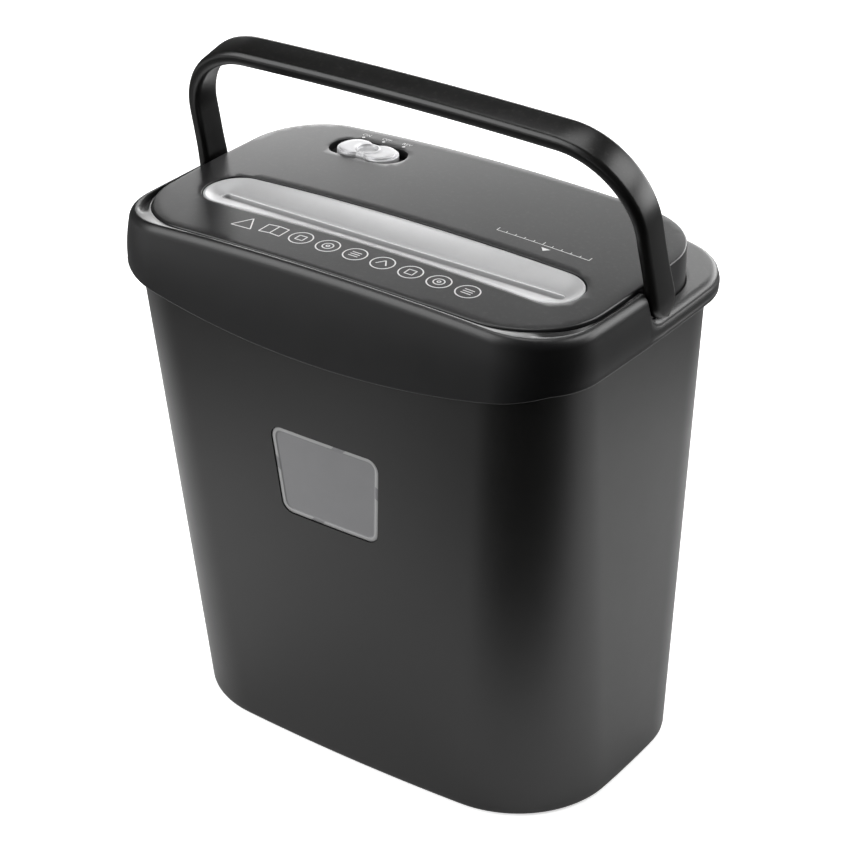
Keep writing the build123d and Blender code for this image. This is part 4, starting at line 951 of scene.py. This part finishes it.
# Rings in polar form. The edge is the larger of two circles set apart by the offset and the
# block between them; the rings go up it, over the step, in to the raised ring and the dish.
def buildKnob():
    angle = np.linspace(0, 2 * pi, knob["around"], endpoint=False)
    c, s = np.cos(angle), np.sin(angle)
    lobes = knob["offset"] * np.abs(c) + np.sqrt(knob["lobe"] ** 2 - (knob["offset"] * s) ** 2)
    blockSide, blockEnd = knob["waist"] / np.maximum(np.abs(s), 1e-6), knob["offset"] / np.maximum(np.abs(c), 1e-6)
    edge = np.maximum(lobes, np.minimum(blockSide, blockEnd))
    direction, centre = np.stack([c, s], axis=-1), np.array([switchRecess["x"], switchRecess["y"]])
    top, easing = knob["top"] - knob["ringLift"], quarterRound(knob["round"], 3)
    rows = []

    def ring(radius, z):
        rows.append(onHeight(direction * np.broadcast_to(radius, len(angle))[:, None] + centre, z))

    for share in knob["underShares"]:
        ring(edge * share, knob["bottom"])
    ring(edge, knob["bottom"] + knob["footEase"])
    for inset, drop in easing:
        ring(edge - inset, top - knob["step"] - drop)
    # the step is broad on the lobes and fades at the waist
    shelf = knob["stepWaist"] + (knob["stepWidth"] - knob["stepWaist"]) * c**2
    ring(edge - np.maximum(shelf - knob["shelfEase"][0], knob["round"] + knob["shelfEase"][1]), top - knob["step"])
    for inset, drop in easing:
        ring(edge - shelf - knob["round"] * knob["lean"] - inset, top - drop)
    inner = edge - shelf - knob["round"] * (1 + knob["lean"])
    outerRing = knob["ring"] + knob["ringWidth"]
    for share in knob["topShares"]:
        ring(inner + (outerRing - inner) * share, top)
    for start, steps in ((outerRing, knob["ringOut"]), (knob["ring"], knob["ringIn"])):
        for shift, lift in steps:
            ring(start + shift, top + knob["ringLift"] * lift)
    for shift, sink in knob["dishRows"]:
        ring(knob["ring"] + shift, top - knob["dish"] * sink)
    return closedShell(np.array(rows))


knobMesh = buildMesh("knobDiscs", *buildKnob())
addPiece("knob_discs", knobMesh, "mode_knob", "knob_silver", material["knobPaint"], ["mode_knob"], sharp=30)
print("knob:", len(knobMesh.polygons), "faces")


# Handle: one bail of rounded section that leans on the rim.
# Right half of the bail in its plane: a straight leg up from the foot, the corner's arc, and
# the flat arc of the bar to its middle.
def bailLine(half, top, corner, arch):
    radius = bowRadius(half, arch)
    barC = np.array([0, top - radius])
    bend = np.array([half - corner, 0.0])
    bend[1] = barC[1] + np.sqrt((radius - corner) ** 2 - bend[0] ** 2)
    foot = -handleForm["width"] / 2
    tail = foot * np.cos(np.linspace(0, pi / 2, handleForm["tailPoints"]))
    leg = np.r_[tail, np.linspace(0, bend[1], handleForm["legPoints"])[1:]]
    start = np.arctan2(bend[1] - barC[1], bend[0])
    right = np.vstack([
        np.column_stack([np.full(len(leg), half), leg]),
        arcBetween(bend, corner, 0, start, handleForm["arcPoints"])[1:],
        arcBetween(barC, radius, start, pi / 2, handleForm["arcPoints"])[1:],
    ])
    return np.vstack([right, right[-2::-1] * np.array([-1, 1])])


# A rounded rectangle carried along the bail from foot to foot: a runs from the inner to the
# outer line, b across the width; then the plane is leaned about the pivot.
def buildHandle():
    reach, corner, leg = handleForm["reach"], handleForm["corner"], handleForm["leg"]
    outer = bailLine(handleForm["halfX"], reach, corner, handleForm["arch"])
    inner = bailLine(handleForm["halfX"] - leg, reach - handleForm["bar"], corner - leg, handleForm["arch"])
    height, half = outer[:, 1], handleForm["width"] / 2
    rise = np.clip(height / handleForm["easeLow"], 0, 1) * np.clip((reach - height) / handleForm["easeTop"], 0, 1)
    broad = half - handleForm["narrowing"] / 2 * rise * rise * (3 - 2 * rise)
    rounded = np.sqrt(np.maximum(half**2 - height**2, handleForm["thin"]))
    halfWidth = np.where(height < 0, rounded, broad)[:, None]
    thickness = np.linalg.norm(outer - inner, axis=1)[:, None]
    across = (outer - inner) / thickness
    edge = np.minimum(handleForm["edge"], halfWidth * handleForm["edgeShare"])
    quarter = np.linspace(0, pi / 2, handleForm["edgePoints"])
    sectionA, sectionB = [], []
    for far, front, turn in ((True, True, 0), (False, True, pi / 2), (False, False, pi), (True, False, 3 * pi / 2)):
        sectionA.append((thickness - edge if far else edge) + edge * np.cos(quarter + turn))
        sectionB.append((halfWidth - edge if front else edge - halfWidth) + edge * np.sin(quarter + turn))
    a, b = np.hstack(sectionA)[..., None], np.hstack(sectionB)[..., None]
    up = np.array([0, -np.sin(lean), np.cos(lean)])
    normal = np.array([0, -np.cos(lean), -np.sin(lean)])
    flat = inner[:, None, :] + across[:, None, :] * a
    # the legs splay: the bail is narrower at its top
    rising = np.clip(flat[..., 1:2] / reach, 0, 1)
    flat[..., 0:1] *= 1 - handleForm["splay"] / handleForm["halfX"] * rising * (2 - rising)
    origin = np.array([0, pivot["y"], pivot["z"]])
    points = origin + flat[..., 0:1] * np.array([1.0, 0, 0]) + flat[..., 1:2] * up + b * normal
    return closedShell(points[:, ::-1])


handleMesh = buildMesh("bail", *buildHandle())
addPiece("bail", handleMesh, "handle", "handle_plastic", material["handlePlastic"], ["handle"], sharp=50)
print("handle:", len(handleMesh.polygons), "faces")

# Printed marks on the deck: thin strokes that follow the dome.
marks = {
    "y": -65.4, "firstRing": -30.6, "pitch": 17.6, "rings": 7, "ringRadius": 6.5, "stroke": 0.75, "lift": 0.05,
    "square": 2.4, "dots": ((3.0, 32), (0.9, 16)), "bars": (3, (-2, 0, 2)), "chevron": (3.2, -1.8, 3.0),
    # corners of the triangle and of the open book's two pages, y counted from the row
    "triangle": ((-73.3, -5.4), (-60.3, -5.4), (-66.8, 5.8)),
    "leftPage": ((-55.3, -4.6), (-55.3, 4.4), (-48.6, 5.2), (-48.6, -3.8), (-55.3, -4.6)),
    "rightPage": ((-48.6, -3.8), (-41.8, -4.6), (-41.8, 4.4), (-48.6, 5.2)),
}
scale = {
    "left": 48, "right": 105, "pitch": 5.7, "ticks": 11, "foot": 0.6, "short": 2.4, "long": 3.8, "longEvery": 5,
    "stroke": 0.45, "pointer": ((77.6, -2.0), (80.4, -5.2), (83.2, -2.0)),
}
words = {
    "at": {"ON": -83.5, "OFF": -69.5, "REV": -55.5}, "y": 62.6, "size": 3.6,
    "dotY": 60.4, "dotRadius": 0.5, "dotStroke": 0.9, "dotPoints": 16,
}


# Flat band along a path: each point gives two, half the width to either side of the tangent.
def strokeRibbon(path, width, closed=False):
    path = np.asarray(path, dtype=float)
    if closed:
        tangent = np.roll(path, -1, axis=0) - np.roll(path, 1, axis=0)
    else:
        tangent = np.gradient(path, axis=0)
    tangent /= np.linalg.norm(tangent, axis=1)[:, None]
    side = np.stack([-tangent[:, 1], tangent[:, 0]], axis=-1) * width / 2
    loop = np.stack([path - side, path + side], axis=1)
    count = len(path)
    i = np.arange(count if closed else count - 1)
    j = (i + 1) % count
    return loop.reshape(-1, 2), np.stack([2 * i, 2 * j, 2 * j + 1, 2 * i + 1], axis=-1)


# Path through some corners, with a point at every corner and every step between them. The
# places are rounded, so that none comes twice.
def densePath(corners, step=1.2):
    corners = np.asarray(corners, dtype=float)
    length = runningLength(corners)
    at = np.unique(np.round(np.r_[length, np.arange(0, length[-1], step)], 6))
    return pointsAlong(corners, length, at)


# Bands along several paths, laid just above the deck.
def strokeSet(paths, width):
    points, faces, base = [], [], 0
    for path, closed in paths:
        flat, quads = strokeRibbon(path, width, closed)
        points.append(flat)
        faces.append(quads + base)
        base += len(flat)
    return onDome(np.vstack(points), -marks["lift"]), faces


def circlePath(centre, radius, count=48):
    return arcBetween(np.array(centre), radius, 0, 2 * pi, count, ends=False)


# A triangle, an open book and a row of rings with four simple shapes in turn.
def deckMarks():
    y, size = marks["y"], marks["square"]
    line = lambda *corners: (densePath(corners), False)
    onRow = lambda corners: [(x, y + rise) for x, rise in corners]
    strokes = [line(*onRow(marks["triangle"] + marks["triangle"][:1]))]
    strokes += [line(*onRow(marks["leftPage"])), line(*onRow(marks["rightPage"]))]
    halfBar, barRises = marks["bars"]
    halfChevron, foot, peak = marks["chevron"]
    for i in range(marks["rings"]):
        x = marks["firstRing"] + marks["pitch"] * i
        strokes.append((circlePath((x, y), marks["ringRadius"]), True))
        if i % 4 == 0:
            square = [(x + a * size, y + b * size) for a, b in ((-1, -1), (1, -1), (1, 1), (-1, 1), (-1, -1))]
            strokes.append(line(*square))
        elif i % 4 == 1:
            strokes += [(circlePath((x, y), radius, count), True) for radius, count in marks["dots"]]
        elif i % 4 == 2:
            strokes += [line((x - halfBar, y + rise), (x + halfBar, y + rise)) for rise in barRises]
        else:
            strokes.append(line((x - halfChevron, y + foot), (x, y + peak), (x + halfChevron, y + foot)))
    return strokes


# Short tick scale beside the slot, on a base line.
def scaleMarks():
    strokes = []
    for i in range(scale["ticks"]):
        x, top = scale["left"] + scale["pitch"] * i, scale["short"] if i % scale["longEvery"] else scale["long"]
        strokes.append((densePath([(x, scale["foot"]), (x, top)]), False))
    strokes.append((densePath([(scale["left"], scale["foot"]), (scale["right"], scale["foot"])]), False))
    return strokes


def addInk(name, mesh):
    addPiece(name, mesh, "head", "deck_plastic", material["markInk"])


addInk("deck_marks", buildMesh("deckMarks", *strokeSet(deckMarks(), marks["stroke"])))
addInk("scale_marks", buildMesh("scaleMarks", *strokeSet(scaleMarks(), scale["stroke"])))
pointer = onDome(np.array(scale["pointer"]), -marks["lift"])
addInk("scale_pointer", buildMesh("scalePointer", pointer, [np.array([[0, 1, 2]])]))


# A word laid flat on the deck, centred on a place.
def printWord(name, word, x, y, size):
    curve = bpy.data.curves.new(name, "FONT")
    curve.body, curve.size, curve.align_x = word, size * mm, "CENTER"
    holder = bpy.data.objects.new(name, curve)
    bpy.context.scene.collection.objects.link(holder)
    bpy.context.view_layer.update()
    mesh = bpy.data.meshes.new_from_object(holder.evaluated_get(bpy.context.evaluated_depsgraph_get()))
    bpy.data.objects.remove(holder)
    flat = np.empty(len(mesh.vertices) * 3)
    mesh.vertices.foreach_get("co", flat)
    flat = onDome(flat.reshape(-1, 3)[:, :2] / mm + np.array([x, y]), -marks["lift"])
    mesh.vertices.foreach_set("co", (flat * mm).ravel())
    addInk(name, mesh)


for word, x in words["at"].items():
    printWord("word_" + word.lower(), word, x, words["y"], words["size"])
places = [(x, words["dotY"]) for x in words["at"].values()]
dots = [(circlePath(place, words["dotRadius"], words["dotPoints"]), True) for place in places]
addInk("mode_dots", buildMesh("modeDots", *strokeSet(dots, words["dotStroke"])))
print("marks made")

# Floor, light and camera.
stage = {
    "size": 12.0, "z": -0.0002, "glow": 0.6, "pale": 0.80, "dark": 0.01, "roughness": 0.9, "world": 0.07,
    # reflections darken between these distances in metres, towards these turns from the front
    "aheadTurn": 33.0, "ahead": (0.165, 0.3), "leftTurn": -36.0, "left": (0.33, 0.5), "leftDark": 0.92,
    "beyond": (0.78, 1.05), "beyondLight": 0.8, "far": (0.42, 0.64), "farDark": 0.85,
}


# White to the eye. In reflections the floor's front and far parts fall away into the dark:
# dark = max(ahead, left, far) * (1 - beyond), each a smooth step of a distance on the floor.
def floorMaterial():
    floor = bpy.data.materials.new("paleFloor")
    floor.use_nodes = True
    tree = floor.node_tree
    shader = tree.nodes["Principled BSDF"]
    place = tree.nodes.new("ShaderNodeTexCoord").outputs["Object"]
    split = tree.nodes.new("ShaderNodeSeparateXYZ")
    tree.links.new(place, split.inputs[0])
    combine = lambda kind, a, b: mathNode(tree, kind, a, b)

    # distance in a direction turned from the front: x * sin(turn) - y * cos(turn)
    def distanceAlong(turn):
        turn = np.radians(turn)
        sideways = combine("MULTIPLY", split.outputs["X"], float(np.sin(turn)))
        return combine("ADD", sideways, combine("MULTIPLY", split.outputs["Y"], float(-np.cos(turn))))

    ahead, leftward = distanceAlong(stage["aheadTurn"]), distanceAlong(stage["leftTurn"])
    reach = tree.nodes.new("ShaderNodeVectorMath")
    reach.operation = "LENGTH"
    tree.links.new(place, reach.inputs[0])
    beyond = combine("MULTIPLY", rampNode(tree, leftward, *stage["beyond"]), stage["beyondLight"])
    left = combine("MULTIPLY", rampNode(tree, leftward, *stage["left"]), stage["leftDark"])
    far = combine("MULTIPLY", rampNode(tree, reach.outputs["Value"], *stage["far"]), stage["farDark"])
    darkest = combine("MAXIMUM", combine("MAXIMUM", rampNode(tree, ahead, *stage["ahead"]), left), far)
    eye = tree.nodes.new("ShaderNodeLightPath").outputs["Is Camera Ray"]
    dark = combine("MULTIPLY", darkest, combine("SUBTRACT", 1.0, beyond))
    dark = combine("MULTIPLY", dark, combine("SUBTRACT", 1.0, eye))
    tones = (stage["pale"],) * 3, (stage["dark"],) * 3
    tree.links.new(blendColour(tree, dark, *tones), shader.inputs["Base Color"])
    shader.inputs["Roughness"].default_value = stage["roughness"]
    shader.inputs["Specular IOR Level"].default_value = 0.0
    glow, total = tree.nodes.new("ShaderNodeEmission"), tree.nodes.new("ShaderNodeAddShader")
    tree.links.new(combine("MULTIPLY", eye, stage["glow"]), glow.inputs["Strength"])
    tree.links.new(shader.outputs[0], total.inputs[0])
    tree.links.new(glow.outputs[0], total.inputs[1])
    tree.links.new(total.outputs[0], tree.nodes["Material Output"].inputs["Surface"])
    return floor


half, level = stage["size"] / 2, stage["z"]
corners = [(-half, -half, level), (half, -half, level), (half, half, level), (-half, half, level)]
floorMesh = bpy.data.meshes.new("floor")
floorMesh.from_pydata(corners, [], [(0, 1, 2, 3)])
floorMesh.materials.append(floorMaterial())
floor = bpy.data.objects.new("floor", floorMesh)
bpy.context.scene.collection.objects.link(floor)

# the world is white to the eye and dim as a light
world = bpy.data.worlds.new("studio")
bpy.context.scene.world = world
world.use_nodes = True
tree = world.node_tree
background = tree.nodes["Background"]
background.inputs["Color"].default_value = (1, 1, 1, 1)
seen = tree.nodes.new("ShaderNodeLightPath").outputs["Is Camera Ray"]
brightness = mathNode(tree, "MULTIPLY", seen, 1 - stage["world"])
tree.links.new(mathNode(tree, "ADD", brightness, stage["world"]), background.inputs["Strength"])

# places and sizes in metres, power in watts
softboxes = {
    "key": {"at": (-1.1, -1.6, 1.4), "toward": (0.0, 0.0, 0.2), "size": (2.0, 2.2), "power": 62.0},
    "rear": {"at": (0.1, 1.3, 0.57), "toward": (0.0, 0.0, 0.3), "size": (3.4, 0.6), "power": 36.0},
    "right": {"at": (1.3, 0.95, 1.5), "toward": (0.0, 0.0, 0.3), "size": (0.9, 0.9), "power": 15.0},
    "top": {"at": (-0.2, 0.3, 2.2), "toward": (0.0, 0.0, 0.2), "size": (1.2, 1.2), "power": 16.0},
}
for name, box in softboxes.items():
    lamp = bpy.data.lights.new(name, "AREA")
    lamp.shape, lamp.size, lamp.size_y, lamp.energy = "RECTANGLE", *box["size"], box["power"]
    holder = bpy.data.objects.new(name, lamp)
    holder.location = box["at"]
    holder.rotation_euler = (Vector(box["toward"]) - Vector(box["at"])).to_track_quat("-Z", "Y").to_euler()
    bpy.context.scene.collection.objects.link(holder)

# angles in degrees, places and the lens in millimetres
view = {
    "azimuth": 35.45, "elevation": 29.05, "distance": 1430.45, "target": (1.6, 0.8, 187.3),
    "lens": 108.5, "sensor": 36.0,
}
azimuth, elevation = np.radians(view["azimuth"]), np.radians(view["elevation"])
back = Vector((np.sin(azimuth) * np.cos(elevation), -np.cos(azimuth) * np.cos(elevation), np.sin(elevation)))
lens = bpy.data.cameras.new("camera")
lens.lens, lens.sensor_width = view["lens"], view["sensor"]
camera = bpy.data.objects.new("camera", lens)
camera.location = (Vector(view["target"]) + back * view["distance"]) * mm
camera.rotation_euler = back.to_track_quat("Z", "Y").to_euler()
bpy.context.scene.collection.objects.link(camera)
bpy.context.scene.camera = camera
bpy.context.scene.view_settings.view_transform = "Standard"
print("stage ready")
